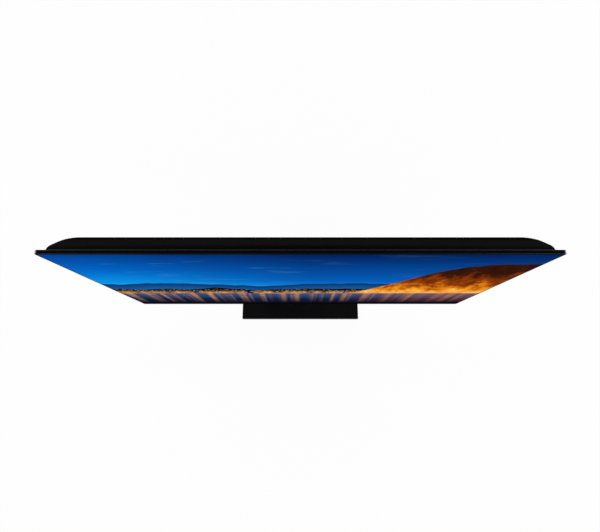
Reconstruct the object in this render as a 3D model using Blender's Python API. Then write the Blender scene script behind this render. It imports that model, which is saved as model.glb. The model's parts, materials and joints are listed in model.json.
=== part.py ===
"""Flat-panel LED television on a swivel pedestal, as an assembly of its separate pieces.

Metres, +Z up. The origin lies on the table under the middle of the stand's base, and the
screen faces -Y. What turns on the stand hangs on frames of its own: in the set's frame x runs
across, y is the depth behind the front face and z the height above the bottom edge.
"""

import math

import bmesh
import bpy
from mathutils import Matrix, Vector

# Driving dimensions: picture and front bezel
PICTURE_W = 0.9550
PICTURE_H = 0.5372
RIM_SIDE = 0.0025
RIM_TOP = 0.0055
RIM_BOTTOM = 0.0221
CORNER_R = 0.0050
FRONT_EDGE_R = 0.0008
FRONT_EDGE_STEPS = 4
BEZEL_WALL = 0.0010
WINDOW_R = 0.0012
WINDOW_CHAMFER = 0.0002

# Driving dimensions: the sheets behind the bezel, front to back
LIP_T = 0.0005
CELL_T = 0.0010
SHELF_T = 0.0006
FILM_T = 0.0004
GUIDE_T = 0.0019
REFLECTOR_T = 0.0003
PLATE_T = 0.0006
FLANGE_T = 0.0012
SHEET_GAP = 0.0002
CELL_LAP = (0.0013, 0.0045)
GUIDE_LAP = (0.0001, 0.0030)
SHELF_LAP = 0.0008
SHELF_REACH = 0.0006
FRAME_WALL = 0.0010
PAN_STEP = 0.0030
PAN_INSET = 0.050
PAN_BOTTOM = 0.026
PAN_RUN = 0.004

# Driving dimensions: edge light under the light guide
LED_COUNT = 28
LED_W = 0.0070
LED_H = 0.0010
LED_BOARD_T = 0.0010
SINK_T = 0.0015
SINK_LEG = 0.0030
SINK_LEG_T = 0.0006
LED_END = 0.0030

# Driving dimensions: rear cover
SET_DEPTH = 0.0494
COVER_WALL = 0.0022
COVER_EDGE_R = 0.0007
COVER_CORNER_R = 0.0098
FLANK_INSET = 0.0101
FLANK_DRAFT = 0.0006
FLANK_RISE = 0.0097
FLANK_SLOPE = math.radians(48)
KNEE_R = 0.0172
BROW_R = 0.055
KNEE_STEPS = 4
BROW_STEPS = 7
WELL_R = 0.0042
WELL_WALL = 0.0020
WELL_FLOOR = 0.0022
WELL_INSET = 0.070
WELL_SPREAD = 0.300
WELL_LEVELS = (0.46, 0.76)
WELL_POCKET_GAP = 0.029
VENT_W = 0.0032
VENT_H = 0.030
VENT_PITCH = 0.0090
VENT_COUNT = 22
VENT_TOP_INSET = 0.076
VENT_MIDDLE_GAP = 0.050
INTAKE_COUNT = 14
INTAKE_H = 0.022
SOUND_SLOT_W = 0.0026
SOUND_SLOT_L = 0.012
SOUND_SLOT_PITCH = 0.0070
SOUND_SLOT_COUNT = 18

# Driving dimensions: bays for the sockets, lined by trays
BAY_W = 0.140
BAY_LOW = 0.100
BAY_H = 0.125
MAINS_BAY_W = 0.070
MAINS_BAY_LOW = 0.140
MAINS_BAY_H = 0.050
PORT_PROUD = 0.0005
PORT_WALL = 0.0005
PORT_SIDE_LIFT = 0.0006

# Driving dimensions: sockets; drops run down from the bay's top, places run along from its side
HDMI_W = 0.0140
HDMI_H = 0.0046
HDMI_NOTCH_W = 0.0022
HDMI_NOTCH_H = 0.0017
HDMI_DROPS = (0.030, 0.056)
USB_W = 0.0126
USB_H = 0.0052
USB_DROP = 0.082
SIDE_PORT_L = 0.0125
SIDE_PORT_DEPTH = 0.0110
LAN_W = 0.0118
LAN_H = 0.0082
LAN_WALL = 0.0016
LAN_L = 0.0150
LAN_DEPTH = 0.0125
LAN_PLACE = 0.086
AERIAL_PLACE = 0.044
AERIAL_BODY = 0.0140
AERIAL_R = 0.0046
AERIAL_L = 0.0100
AERIAL_EDGE = 0.0006
MAINS_W = 0.0184
MAINS_H = 0.0094
MAINS_WALL = 0.0018
MAINS_L = 0.0170
MAINS_DEPTH = 0.0120
MAINS_PIN_PITCH = 0.0086
MAINS_PIN_R = 0.0012
MAINS_PIN_SUNK = 0.0030

# Driving dimensions: wall-mount bushes and boards
WALL_MOUNT_PITCH = 0.200
BUSH_R = 0.0070
BUSH_BORE_R = 0.0033
BUSH_BORE_DEPTH = 0.020
BUSH_SUNK = 0.0010
POST_R = 0.0035
POST_TOP_R = 0.0028
POST_H = 0.0052
BOARD_T = 0.0016
BOARD_GAP = 0.012
MAIN_BOARD_W = 0.1305
POWER_BOARD_W = 0.1505
BOARD_TOP = 0.330
POWER_BOARD_LOW = 0.120
TCON_L = 0.200
TCON_H = 0.045
TCON_TOP_INSET = 0.085
TCON_LEFT = 0.165
SOURCE_H = 0.013
SOURCE_INSET = 0.030
SOURCE_MIDDLE_GAP = 0.060
SOURCE_L = 0.380
RIBBON_W = 0.025
RIBBON_T = 0.0006
RIBBON_LIFT = 0.0035
RIBBON_EDGE = 0.010
RIBBON_CREST = 0.0050
RIBBON_LEVEL = 0.012
RIBBON_RAMP = 0.012
RIBBON_LAP = 0.001
HARNESS_R = 0.0020
HARNESS_DROP = 0.060
HARNESS_RISE = 0.007
HARNESS_BULGE = 0.004
HARNESS_SAG = 0.014
HARNESS_POINTS = 16

# Driving dimensions: parts that stand on the boards
FIN_FOOT = 0.004
CONNECTOR_MARGIN = 0.003
CONNECTOR_H = 0.007
CONNECTOR_IN = 0.020
PLUG_W = 0.008
PLUG_H = 0.024
PLUG_IN = 0.002
MAIN_SINK = 0.044
MAIN_SINK_LOW = 0.060
MAIN_SINK_RISE = 0.014
MAIN_SINK_FINS = 7
MEMORY_W = 0.016
MEMORY_H = 0.012
MEMORY_T = 0.0014
MEMORY_LOW = 0.018
MEMORY_PITCH = 0.036
TUNER_W = 0.034
TUNER_H = 0.018
TUNER_T = 0.008
TUNER_IN = 0.020
TUNER_DROP = 0.030
TRANSFORMER_W = 0.036
TRANSFORMER_H = 0.032
TRANSFORMER_T = 0.022
TRANSFORMER_LOW = 0.100
POWER_IN = 0.030
POWER_SINK_W = 0.036
POWER_SINK_L = 0.070
POWER_SINK_IN = 0.016
POWER_SINK_LOW = 0.080
POWER_SINK_RISE = 0.020
POWER_SINK_FINS = 5
CAPACITOR_R = 0.009
CAPACITOR_H = 0.024
CAPACITOR_EDGE = 0.001
CAPACITOR_PITCH = 0.026
CAPACITOR_LOW = 0.040
TIMING_CHIP = 0.018
TIMING_CHIP_T = 0.0018
TIMING_CHIP_LOW = 0.014
REGULATOR_W = 0.012
REGULATOR_H = 0.020
REGULATOR_T = 0.0040
REGULATOR_IN = 0.040
REGULATOR_LOW = 0.012

# Driving dimensions: loudspeakers
SPEAKER_L = 0.200
SPEAKER_H = 0.044
SPEAKER_D = 0.0215
SPEAKER_LOW = 0.0305
SPEAKER_EDGE = 0.120
SPEAKER_CORNER_R = 0.006
DRIVER_L = 0.062
DRIVER_W = 0.017
DRIVER_H = 0.011
DRIVER_RIM = 0.0020
CONE_DEPTH = 0.0070
CONE_L = 0.046
CONE_W = 0.007

# Driving dimensions: remote sensor and network module
LENS_W = 0.026
LENS_H = 0.0050
LENS_LOW = 0.0040
LENS_T = 0.0024
SENSOR_BOARD_T = 0.0012
SENSOR_MARGIN = 0.0020
NETWORK_W = 0.044
NETWORK_H = 0.022
NETWORK_T = 0.0030
NETWORK_LIFT = 0.040

# Driving dimensions: rear jog control
JOG_EDGE = 0.095
JOG_LOW = 0.090
JOG_DISH_DEPTH = 0.0050
JOG_DISH_R = 0.0150
JOG_DISH_TAPER = 0.0020
JOG_HOLE_R = 0.0072
JOG_BODY_R = 0.0110
JOG_BODY_WALL = 0.0017
JOG_BODY_L = 0.0170
JOG_FLOOR = 0.0020
JOG_PLUNGER_WALL = 0.0013
JOG_PLUNGER_L = 0.0103
JOG_TRAVEL = 0.0006
JOG_PIVOT_RISE = 0.0063
JOG_RING_GAP = 0.0005
JOG_RING_WALL = 0.0020
JOG_RING_L = 0.0032
JOG_STEM_R = 0.0045
JOG_PIN_R = 0.0008
JOG_PIN_GAP = 0.00015
JOG_HEAD_R = 0.0065
JOG_HEAD_LIFT = 0.0026
JOG_HEAD_H = 0.0022
JOG_HEAD_EDGE = 0.0010
JOG_CROWN_R = 0.0035
JOG_CROWN_DIP = 0.0006

# Driving dimensions: pedestal stand
BASE_W = 0.368
BASE_D = 0.200
BASE_CORNER_R = 0.0020
BASE_EDGE_R = 0.0010
BASE_WALL = 0.0025
BASE_OVERHANG = 0.0390
SWIVEL_DEPTH = 0.033
STAND_GAP = 0.052
FOOT_L = 0.050
FOOT_W = 0.014
FOOT_H = 0.0015
FOOT_INSET = 0.012
FOOT_R = 0.003
UNDER_T = 0.0012
BALLAST_T = 0.0025
WASHER_T = 0.0005
WASHER_R = 0.030
SPRING_T = 0.0006
SPRING_RISE = 0.0004
SPRING_R = 0.020
NUT_T = 0.0030
NUT_FLATS = 0.030
NUT_STEPS = 24
SHAFT_R = 0.0090
SHAFT_BITE = 0.0020
TURNTABLE_R = 0.046
TURNTABLE_T = 0.0030
TURNTABLE_GAP = 0.0006
TURNTABLE_EDGE = 0.0004
STOP_PIN_R = 0.0025
STOP_RADIUS = 0.039
SWIVEL_LIMIT = math.radians(20)
NECK_BAR_W = 0.068
NECK_BAR_T = 0.012
TONGUE_W = 0.130
TONGUE_T = 0.008
TONGUE_LOW = 0.014
TONGUE_TOP = 0.084
TONGUE_CORNER_R = 0.008
SLEEVE_FOOT_W = 0.080
SLEEVE_FOOT_D = 0.028
SLEEVE_TOP_W = 0.120
SLEEVE_TOP_D = 0.024
SLEEVE_WALL = 0.0022
SLEEVE_TOP = 0.012
SLEEVE_CORNER_R = 0.006
SLEEVE_LEVELS = 6
POCKET_FLOOR_T = 0.0024
POCKET_SIDE_GAP = 0.010
POCKET_TOP_GAP = 0.008
BRACKET_SHEET = 0.0020
BRACKET_W = 0.150
BRACKET_FLANGE = 0.020
BRACKET_LOW = 0.031
BRACKET_TOP = 0.104
SCREW_PITCH_X = 0.100
SCREW_LOW = 0.040
SCREW_HIGH = 0.070
SCREW_R = 0.0020
SCREW_HEAD_R = 0.0042
SCREW_HEAD_H = 0.0026
SCREW_HEAD_FLAT = 0.0016
SCREW_TOP_R = 0.0030
SCREW_REACH = 0.0030

# Clearances and facets
SEAT = 0.0003
HOLE_GAP = 0.0003
OVERCUT = 0.010
WELD = 0.0004
CORNER_STEPS = 5
BLUNT_STEPS = 3
WIDE_STEPS = 40
ROUND_STEPS = 32
HALF_ROUND_STEPS = 20
SMALL_STEPS = 16
FINE_STEPS = 12
SCREW_STEPS = 8

# Derived: outline of the set and depths of its layers
SET_W = PICTURE_W + 2 * RIM_SIDE
SET_H = PICTURE_H + RIM_TOP + RIM_BOTTOM
CELL_Y = LIP_T + SHEET_GAP
SHELF_Y = CELL_Y + CELL_T + SHEET_GAP
FILM_Y = SHELF_Y + SHELF_T + SHEET_GAP
GUIDE_Y = FILM_Y + FILM_T + SHEET_GAP
REFLECTOR_Y = GUIDE_Y + GUIDE_T + SHEET_GAP
PLATE_Y = REFLECTOR_Y + REFLECTOR_T + SHEET_GAP
FLANGE_Y = PLATE_Y + PLATE_T + SHEET_GAP
RIM_DEPTH = FLANGE_Y + FLANGE_T
PAN_REAR = PLATE_Y + PLATE_T + PAN_STEP
BOARD_Y = PAN_REAR + POST_H + SHEET_GAP
BOARD_REAR = BOARD_Y + BOARD_T
COVER_INSIDE = SET_DEPTH - COVER_WALL

# Derived: margins of the sheets, measured in from the set's edge (sides and top, bottom)
CELL_EDGE = (RIM_SIDE - CELL_LAP[0], RIM_BOTTOM - CELL_LAP[1])
GUIDE_EDGE = (RIM_SIDE - GUIDE_LAP[0], RIM_BOTTOM - GUIDE_LAP[1])
FRAME_IN_SIDE = GUIDE_EDGE[0] - SHEET_GAP
SHELF_EDGE = (FRAME_IN_SIDE + SHELF_REACH, RIM_BOTTOM - SHELF_LAP)
LED_TOP = GUIDE_EDGE[1] - SHEET_GAP
LED_BOARD_LOW = LED_TOP - LED_H - LED_BOARD_T
SINK_LOW = LED_BOARD_LOW - SHEET_GAP - SINK_T
SINK_LEG_Y = PLATE_Y - SHEET_GAP - SINK_LEG_T
FRAME_IN_BOTTOM = SINK_LOW - SHEET_GAP
FRAME_OUT = (FRAME_IN_SIDE - FRAME_WALL, FRAME_IN_BOTTOM - FRAME_WALL)
PLATE_EDGE = BEZEL_WALL + SHEET_GAP
LED_HALF = SET_W / 2 - GUIDE_EDGE[0] - LED_END

# Derived: heights of the stand's layers
UNDER_Z = FOOT_H + SEAT
NUT_Z = UNDER_Z + UNDER_T + SEAT
SPRING_Z = NUT_Z + NUT_T + SHEET_GAP
LOW_WASHER_Z = SPRING_Z + SPRING_T + SPRING_RISE + SHEET_GAP
BALLAST_Z = LOW_WASHER_Z + WASHER_T + SHEET_GAP
HIGH_WASHER_Z = BALLAST_Z + BALLAST_T + SHEET_GAP
BASE_INSIDE = BALLAST_Z + BALLAST_T + SEAT
TURNTABLE_Z = HIGH_WASHER_Z + WASHER_T + SHEET_GAP
BASE_H = TURNTABLE_Z + TURNTABLE_T
SET_BOTTOM = BASE_H + STAND_GAP
FRONT_Y = BASE_OVERHANG - BASE_D / 2
SWIVEL_Y = FRONT_Y + SWIVEL_DEPTH

# Derived: pocket for the neck's tongue, with the neck centred on the swivel axis
POCKET_FLOOR = SWIVEL_DEPTH - NECK_BAR_T / 2 - SEAT
POCKET_W = TONGUE_W + 2 * POCKET_SIDE_GAP
POCKET_TOP = TONGUE_TOP + POCKET_TOP_GAP
SCREW_PLACES = [(side * SCREW_PITCH_X / 2, z) for z in (SCREW_LOW, SCREW_HIGH) for side in (-1, 1)]

# Derived: socket bays, the jog control and the boards beside them
BAY_FLOOR = BOARD_REAR + SEAT - PORT_SIDE_LIFT
BOARD_EDGE = WALL_MOUNT_PITCH / 2 + BOARD_GAP
BAY_X1 = -BOARD_EDGE - MAIN_BOARD_W - SEAT - COVER_WALL
BAY_X0 = BAY_X1 - BAY_W
BAY_TOP = BAY_LOW + BAY_H
MAINS_BAY_X0 = BOARD_EDGE + POWER_BOARD_W + SEAT + COVER_WALL
MAINS_BAY_X1 = MAINS_BAY_X0 + MAINS_BAY_W
SOCKET_BAY = (BAY_X0, BAY_X1, BAY_LOW, BAY_TOP)
MAINS_BAY = (MAINS_BAY_X0, MAINS_BAY_X1, MAINS_BAY_LOW, MAINS_BAY_LOW + MAINS_BAY_H)
BUSH_PLACES = [
    (side * WALL_MOUNT_PITCH / 2, SET_H / 2 + level * WALL_MOUNT_PITCH / 2)
    for level in (-1, 1)
    for side in (-1, 1)
]
JOG_X = SET_W / 2 - JOG_EDGE
JOG_DISH_Y = SET_DEPTH - JOG_DISH_DEPTH
JOG_BODY_REAR = JOG_DISH_Y - COVER_WALL - SEAT
JOG_BODY_FRONT = JOG_BODY_REAR - JOG_BODY_L
JOG_PLUNGER_R = JOG_BODY_R - JOG_BODY_WALL - SEAT
JOG_PLUNGER_FRONT = JOG_BODY_FRONT + JOG_FLOOR + JOG_TRAVEL + SEAT
JOG_PIVOT_Y = JOG_PLUNGER_FRONT + JOG_PIVOT_RISE
JOG_CUP_R = JOG_PLUNGER_R - JOG_PLUNGER_WALL
JOG_RING_R = JOG_CUP_R - JOG_RING_GAP
JOG_RING_IN_R = JOG_RING_R - JOG_RING_WALL

# Derived: boards as (left, right, low, high), and the leads between them
MAIN_BOARD = (-BOARD_EDGE - MAIN_BOARD_W, -BOARD_EDGE, BAY_LOW, BOARD_TOP)
POWER_BOARD = (BOARD_EDGE, BOARD_EDGE + POWER_BOARD_W, POWER_BOARD_LOW, BOARD_TOP)
TCON_BOARD = (-TCON_LEFT, TCON_L - TCON_LEFT, SET_H - TCON_TOP_INSET - TCON_H, SET_H - TCON_TOP_INSET)
RIBBON_LEFT = MAIN_BOARD[1] - RIBBON_EDGE - RIBBON_W
HARNESS_Z = BOARD_TOP - HARNESS_DROP

# Derived: sockets, standing on the boards
SIDE_PORT_Y = BAY_FLOOR + PORT_SIDE_LIFT + PORT_WALL
SIDE_MOUTH = BAY_X1 - PORT_PROUD
DOWN_MOUTH = BAY_TOP - PORT_PROUD
HDMI_Z = [BAY_TOP - drop for drop in HDMI_DROPS]
USB_Z = BAY_TOP - USB_DROP
LAN_X = BAY_X0 + LAN_PLACE
AERIAL_X = BAY_X0 + AERIAL_PLACE
AERIAL_Y = BOARD_REAR + SEAT + AERIAL_BODY / 2
MAINS_MOUTH = MAINS_BAY_X0 + PORT_PROUD
MAINS_Y = BOARD_REAR + SEAT + MAINS_WALL + MAINS_H / 2
MAINS_Z = MAINS_BAY_LOW + MAINS_BAY_H / 2


for leftover in list(bpy.data.objects):
    bpy.data.objects.remove(leftover)


# Materials


def finish(name, colour, roughness, metallic=0.0):
    """A plain Principled material."""
    material = bpy.data.materials.new(name)
    material.use_nodes = True
    shader = material.node_tree.nodes["Principled BSDF"]
    shader.inputs["Base Color"].default_value = (*colour, 1.0)
    shader.inputs["Roughness"].default_value = roughness
    shader.inputs["Metallic"].default_value = metallic
    return material


GLOSS_BLACK = finish("gloss_black_plastic", (0.004, 0.004, 0.005), 0.12)
MATT_BLACK = finish("textured_black_plastic", (0.006, 0.006, 0.007), 0.55)
SATIN_BLACK = finish("satin_black_plastic", (0.005, 0.005, 0.006), 0.35)
PANEL_GLASS = finish("display_glass", (0.01, 0.05, 0.16), 0.20)
FILM_WHITE = finish("diffusing_film", (0.85, 0.87, 0.88), 0.60)
ACRYLIC = finish("clear_acrylic", (0.80, 0.86, 0.88), 0.08)
WHITE_PLASTIC = finish("white_plastic", (0.75, 0.75, 0.73), 0.50)
SHEET_STEEL = finish("zinc_plated_steel", (0.55, 0.56, 0.58), 0.38, 1.0)
DARK_STEEL = finish("blackened_steel", (0.03, 0.03, 0.032), 0.42, 1.0)
BRIGHT_STEEL = finish("bright_steel", (0.62, 0.62, 0.63), 0.25, 1.0)
ALUMINIUM = finish("aluminium", (0.75, 0.76, 0.77), 0.35, 1.0)
CIRCUIT_GREEN = finish("circuit_board", (0.02, 0.12, 0.05), 0.45)
SMOKED_LENS = finish("smoked_lens", (0.03, 0.004, 0.004), 0.10)
ACETAL = finish("acetal", (0.80, 0.80, 0.77), 0.40)
RUBBER = finish("black_rubber", (0.012, 0.012, 0.012), 0.85)
CABLE_WHITE = finish("cable_jacket", (0.70, 0.70, 0.68), 0.55)


# Frames


def frame_at(name, place, parent=None):
    """An empty that carries pieces, standing at a world position."""
    empty = bpy.data.objects.new(name, None)
    bpy.context.scene.collection.objects.link(empty)
    empty.parent = parent
    offset = Vector(place)
    if parent:
        offset -= Vector(parent["world_place"])
    empty["world_place"] = place
    empty.location = offset
    return empty


BASE_FRAME = frame_at("base_frame", (0.0, 0.0, 0.0))
SWIVEL_FRAME = frame_at("swivel_axis", (0.0, SWIVEL_Y, 0.0), BASE_FRAME)
SET_FRAME = frame_at("set_frame", (0.0, FRONT_Y, SET_BOTTOM), SWIVEL_FRAME)
JOG_FRAME = frame_at("jog_axes", (JOG_X, FRONT_Y + JOG_PIVOT_Y, SET_BOTTOM + JOG_LOW), SET_FRAME)


# Mesh building


def on_axis(axis, across, up, along):
    """A point from two coordinates in a plane and one along the plane's axis."""
    if axis == "X":
        return Vector((along, across, up))
    if axis == "Y":
        return Vector((across, along, up))
    return Vector((across, up, along))


def loft(loops, ring=False):
    """Skin through loops of equal length: capped at both ends, or closed into a ring."""
    bm = bmesh.new()
    rows = [[bm.verts.new(point) for point in loop] for loop in loops]
    pairs = list(zip(rows, rows[1:]))
    if ring:
        pairs.append((rows[-1], rows[0]))
    for low, high in pairs:
        for i in range(len(low)):
            j = (i + 1) % len(low)
            bm.faces.new((low[i], low[j], high[j], high[i]))
    if not ring:
        bm.faces.new(rows[0])
        bm.faces.new(rows[-1])
    bmesh.ops.recalc_face_normals(bm, faces=bm.faces)
    return bm


def prism(outline, axis, low, high):
    """An outline extruded along an axis."""
    return loft([[on_axis(axis, a, b, h) for a, b in outline] for h in (low, high)])


def block(low, high):
    """A box between two corners."""
    outline = [(low[0], low[1]), (high[0], low[1]), (high[0], high[1]), (low[0], high[1])]
    return prism(outline, "Z", low[2], high[2])


def turned(profile, axis, steps=ROUND_STEPS, ring=False, centre=(0.0, 0.0)):
    """A profile of (radius, place along the axis) turned about the axis."""
    loops = []
    for radius, along in profile:
        turns = [2 * math.pi * i / steps for i in range(steps)]
        loops.append([
            on_axis(axis, centre[0] + radius * math.cos(t), centre[1] + radius * math.sin(t), along)
            for t in turns
        ])
    return loft(loops, ring)


def rounded_outline(left, right, low, high, radius, steps=CORNER_STEPS):
    """A rectangle with round corners, counter-clockwise from the right side's upper corner."""
    points = []
    corners = [(right - radius, high - radius), (left + radius, high - radius)]
    corners += [(left + radius, low + radius), (right - radius, low + radius)]
    for quarter, (x, y) in enumerate(corners):
        for i in range(steps + 1):
            turn = math.pi / 2 * (quarter + i / steps)
            points.append((x + radius * math.cos(turn), y + radius * math.sin(turn)))
    return points


def set_loop(side, bottom, depth, radius, top=None):
    """The set's outline at a depth, moved in from its edges: the top like the sides, unless given."""
    half = SET_W / 2 - side
    high = SET_H - (side if top is None else top)
    outline = rounded_outline(-half, half, bottom, high, radius)
    return [on_axis("Y", x, z, depth) for x, z in outline]


def gather(pieces):
    """Several separate bodies in one mesh, for cutting or adding in one step."""
    whole = bmesh.new()
    for piece in pieces:
        mesh = bpy.data.meshes.new("gathered")
        piece.to_mesh(mesh)
        piece.free()
        whole.from_mesh(mesh)
        bpy.data.meshes.remove(mesh)
    return whole


def moved(bm, offset):
    """The same body, moved."""
    bmesh.ops.translate(bm, verts=bm.verts, vec=offset)
    return bm


def add_part(name, bm, material, frame, place=(0.0, 0.0, 0.0), smooth=math.radians(35)):
    """A named piece on a frame."""
    mesh = bpy.data.meshes.new(name)
    bm.to_mesh(mesh)
    bm.free()
    mesh.materials.append(material)
    mesh.shade_smooth()
    mesh.set_sharp_from_angle(angle=smooth)
    part = bpy.data.objects.new(name, mesh)
    bpy.context.scene.collection.objects.link(part)
    part.parent = frame
    part.location = place
    return part


def combine(part, bm, operation):
    """Cut a shape from a part, or join it on, by a helper object on the same frame."""
    helper = add_part(part.name + "_" + operation.lower(), bm, part.data.materials[0], part.parent)
    helper.location = part.location
    helper.hide_render = True
    helper.display_type = "WIRE"
    boolean = part.modifiers.new(operation.title(), "BOOLEAN")
    boolean.operation = operation
    boolean.solver = "EXACT"
    boolean.object = helper
    return helper


def cut(part, bm):
    return combine(part, bm, "DIFFERENCE")


def join(part, bm):
    return combine(part, bm, "UNION")


# Front bezel and display sheets


def make_front_bezel():
    """L-section frame: a lip round the picture and a wall round the sheets."""
    rim = []
    for i in range(FRONT_EDGE_STEPS + 1):
        turn = math.pi / 2 * i / FRONT_EDGE_STEPS
        inset = FRONT_EDGE_R * (1 - math.cos(turn))
        depth = FRONT_EDGE_R * (1 - math.sin(turn))
        rim.append((inset, inset, depth, CORNER_R - inset))
    section = [(0.0, 0.0, FLANGE_Y - SHEET_GAP, CORNER_R)]
    section += rim
    chamfer = WINDOW_CHAMFER
    section += [
        (RIM_SIDE - chamfer, RIM_BOTTOM - chamfer, 0.0, WINDOW_R, RIM_TOP - chamfer),
        (RIM_SIDE, RIM_BOTTOM, chamfer, WINDOW_R, RIM_TOP),
        (RIM_SIDE, RIM_BOTTOM, LIP_T, WINDOW_R, RIM_TOP),
        (BEZEL_WALL, BEZEL_WALL, LIP_T, CORNER_R - BEZEL_WALL),
        (BEZEL_WALL, BEZEL_WALL, FLANGE_Y - SHEET_GAP, CORNER_R - BEZEL_WALL),
    ]
    bezel = add_part("front_bezel", loft([set_loop(*row) for row in section], True), GLOSS_BLACK, SET_FRAME)
    half = LENS_W / 2 + HOLE_GAP
    low = (-half, -OVERCUT, LENS_LOW - HOLE_GAP)
    high = (half, LIP_T + OVERCUT, LENS_LOW + LENS_H + HOLE_GAP)
    cut(bezel, block(low, high))


def make_sheet(name, edge, depth, thickness, material):
    """A flat sheet of the display, held in from the set's edge, its corners round like the rim's."""
    half = SET_W / 2 - edge[0]
    outline = rounded_outline(-half, half, edge[1], SET_H - edge[0], CORNER_R - edge[0], BLUNT_STEPS)
    add_part(name, prism(outline, "Y", depth, depth + thickness), material, SET_FRAME)


def make_display_sheets():
    make_sheet("lcd_cell", CELL_EDGE, CELL_Y, CELL_T, PANEL_GLASS)
    make_sheet("prism_film", GUIDE_EDGE, FILM_Y, FILM_T, FILM_WHITE)
    make_sheet("light_guide", GUIDE_EDGE, GUIDE_Y, GUIDE_T, ACRYLIC)
    make_sheet("reflector_sheet", GUIDE_EDGE, REFLECTOR_Y, REFLECTOR_T, FILM_WHITE)


def make_middle_frame():
    """Moulded ring whose shelf carries the cell in front and holds the films behind."""
    inner = (FRAME_IN_SIDE, FRAME_IN_BOTTOM)
    rear = PLATE_Y - SHEET_GAP
    outer_r = CORNER_R - FRAME_OUT[0]
    inner_r = CORNER_R - FRAME_IN_SIDE
    shelf_r = CORNER_R - SHELF_EDGE[0]
    section = [
        (*FRAME_OUT, SHELF_Y, outer_r),
        (*SHELF_EDGE, SHELF_Y, shelf_r),
        (*SHELF_EDGE, SHELF_Y + SHELF_T, shelf_r),
        (*inner, SHELF_Y + SHELF_T, inner_r),
        (*inner, rear, inner_r),
        (*FRAME_OUT, rear, outer_r),
    ]
    add_part("middle_frame", loft([set_loop(*row) for row in section], True), WHITE_PLASTIC, SET_FRAME)


def make_led_bar():
    """Strip of LEDs that shines up into the light guide's bottom edge."""
    half = LED_HALF
    pitch = 2 * half / LED_COUNT
    outline = [(half, LED_BOARD_LOW), (-half, LED_BOARD_LOW)]
    board_top = LED_BOARD_LOW + LED_BOARD_T
    outline.append((-half, board_top))
    for i in range(LED_COUNT):
        middle = -half + pitch * (i + 0.5)
        start = middle - LED_W / 2
        end = middle + LED_W / 2
        outline += [(start, board_top), (start, LED_TOP), (end, LED_TOP), (end, board_top)]
    outline.append((half, board_top))
    strip = prism(outline, "Y", GUIDE_Y, SINK_LEG_Y - SHEET_GAP)
    add_part("led_bar", strip, WHITE_PLASTIC, SET_FRAME)


def make_led_heat_sink():
    """Aluminium angle that carries the LED strip's heat to the back pan."""
    front = SHELF_Y + SHELF_T + SHEET_GAP
    rear = PLATE_Y - SHEET_GAP
    outline = [(front, SINK_LOW), (rear, SINK_LOW), (rear, SINK_LOW + SINK_LEG)]
    outline += [(SINK_LEG_Y, SINK_LOW + SINK_LEG), (SINK_LEG_Y, SINK_LOW + SINK_T)]
    outline.append((front, SINK_LOW + SINK_T))
    add_part("led_heat_sink", prism(outline, "X", -LED_HALF, LED_HALF), ALUMINIUM, SET_FRAME)


def board_posts():
    """Places of the posts under each board, in from its corners."""
    inset = 2 * POST_R
    places = []
    for left, right, low, high in (MAIN_BOARD, POWER_BOARD, TCON_BOARD):
        for x in (left + inset, right - inset):
            places += [(x, low + inset), (x, high - inset)]
    return places


def make_back_pan():
    """Pressed steel pan behind the display, with a sunk middle and posts for the boards."""
    edge_r = CORNER_R - PLATE_EDGE
    sunk = (PAN_INSET + PAN_RUN, PAN_BOTTOM + PAN_RUN)
    rows = [
        (*sunk, PLATE_Y + PAN_STEP, CORNER_R),
        (PAN_INSET, PAN_BOTTOM, PLATE_Y, CORNER_R),
        (PLATE_EDGE, PLATE_EDGE, PLATE_Y, edge_r),
        (PLATE_EDGE, PLATE_EDGE, PLATE_Y + PLATE_T, edge_r),
        (PAN_INSET, PAN_BOTTOM, PLATE_Y + PLATE_T, CORNER_R),
        (*sunk, PAN_REAR, CORNER_R),
    ]
    pan = add_part("back_pan", loft([set_loop(*row) for row in rows]), SHEET_STEEL, SET_FRAME)
    rows = [(POST_R, PAN_REAR - WELD), (POST_TOP_R, PAN_REAR + POST_H)]
    join(pan, gather([turned(rows, "Y", SCREW_STEPS, centre=place) for place in board_posts()]))


# Boards


def fins(left, right, low, high, rise, count):
    """Comb-shaped heat sink standing on a board."""
    pitch = (right - left) / (2 * count - 1)
    foot = BOARD_REAR + FIN_FOOT
    top = BOARD_REAR + rise
    outline = [(right, BOARD_REAR - WELD), (left, BOARD_REAR - WELD)]
    for i in range(count):
        start = left + 2 * i * pitch
        end = start + pitch
        if i > 0:
            outline.append((start, foot))
        outline += [(start, top), (end, top)]
        if i < count - 1:
            outline.append((end, foot))
    return prism(outline, "Z", low, high)


def chip(left, low, width, height, rise):
    """A packaged part on a board."""
    return block((left, BOARD_REAR - WELD, low), (left + width, BOARD_REAR + rise, low + height))


def ribbon_connector(low):
    """The flat cable's connector on a board."""
    width = RIBBON_W + 2 * CONNECTOR_MARGIN
    return chip(RIBBON_LEFT - CONNECTOR_MARGIN, low, width, CONNECTOR_H, RIBBON_LIFT - RIBBON_T)


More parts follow.
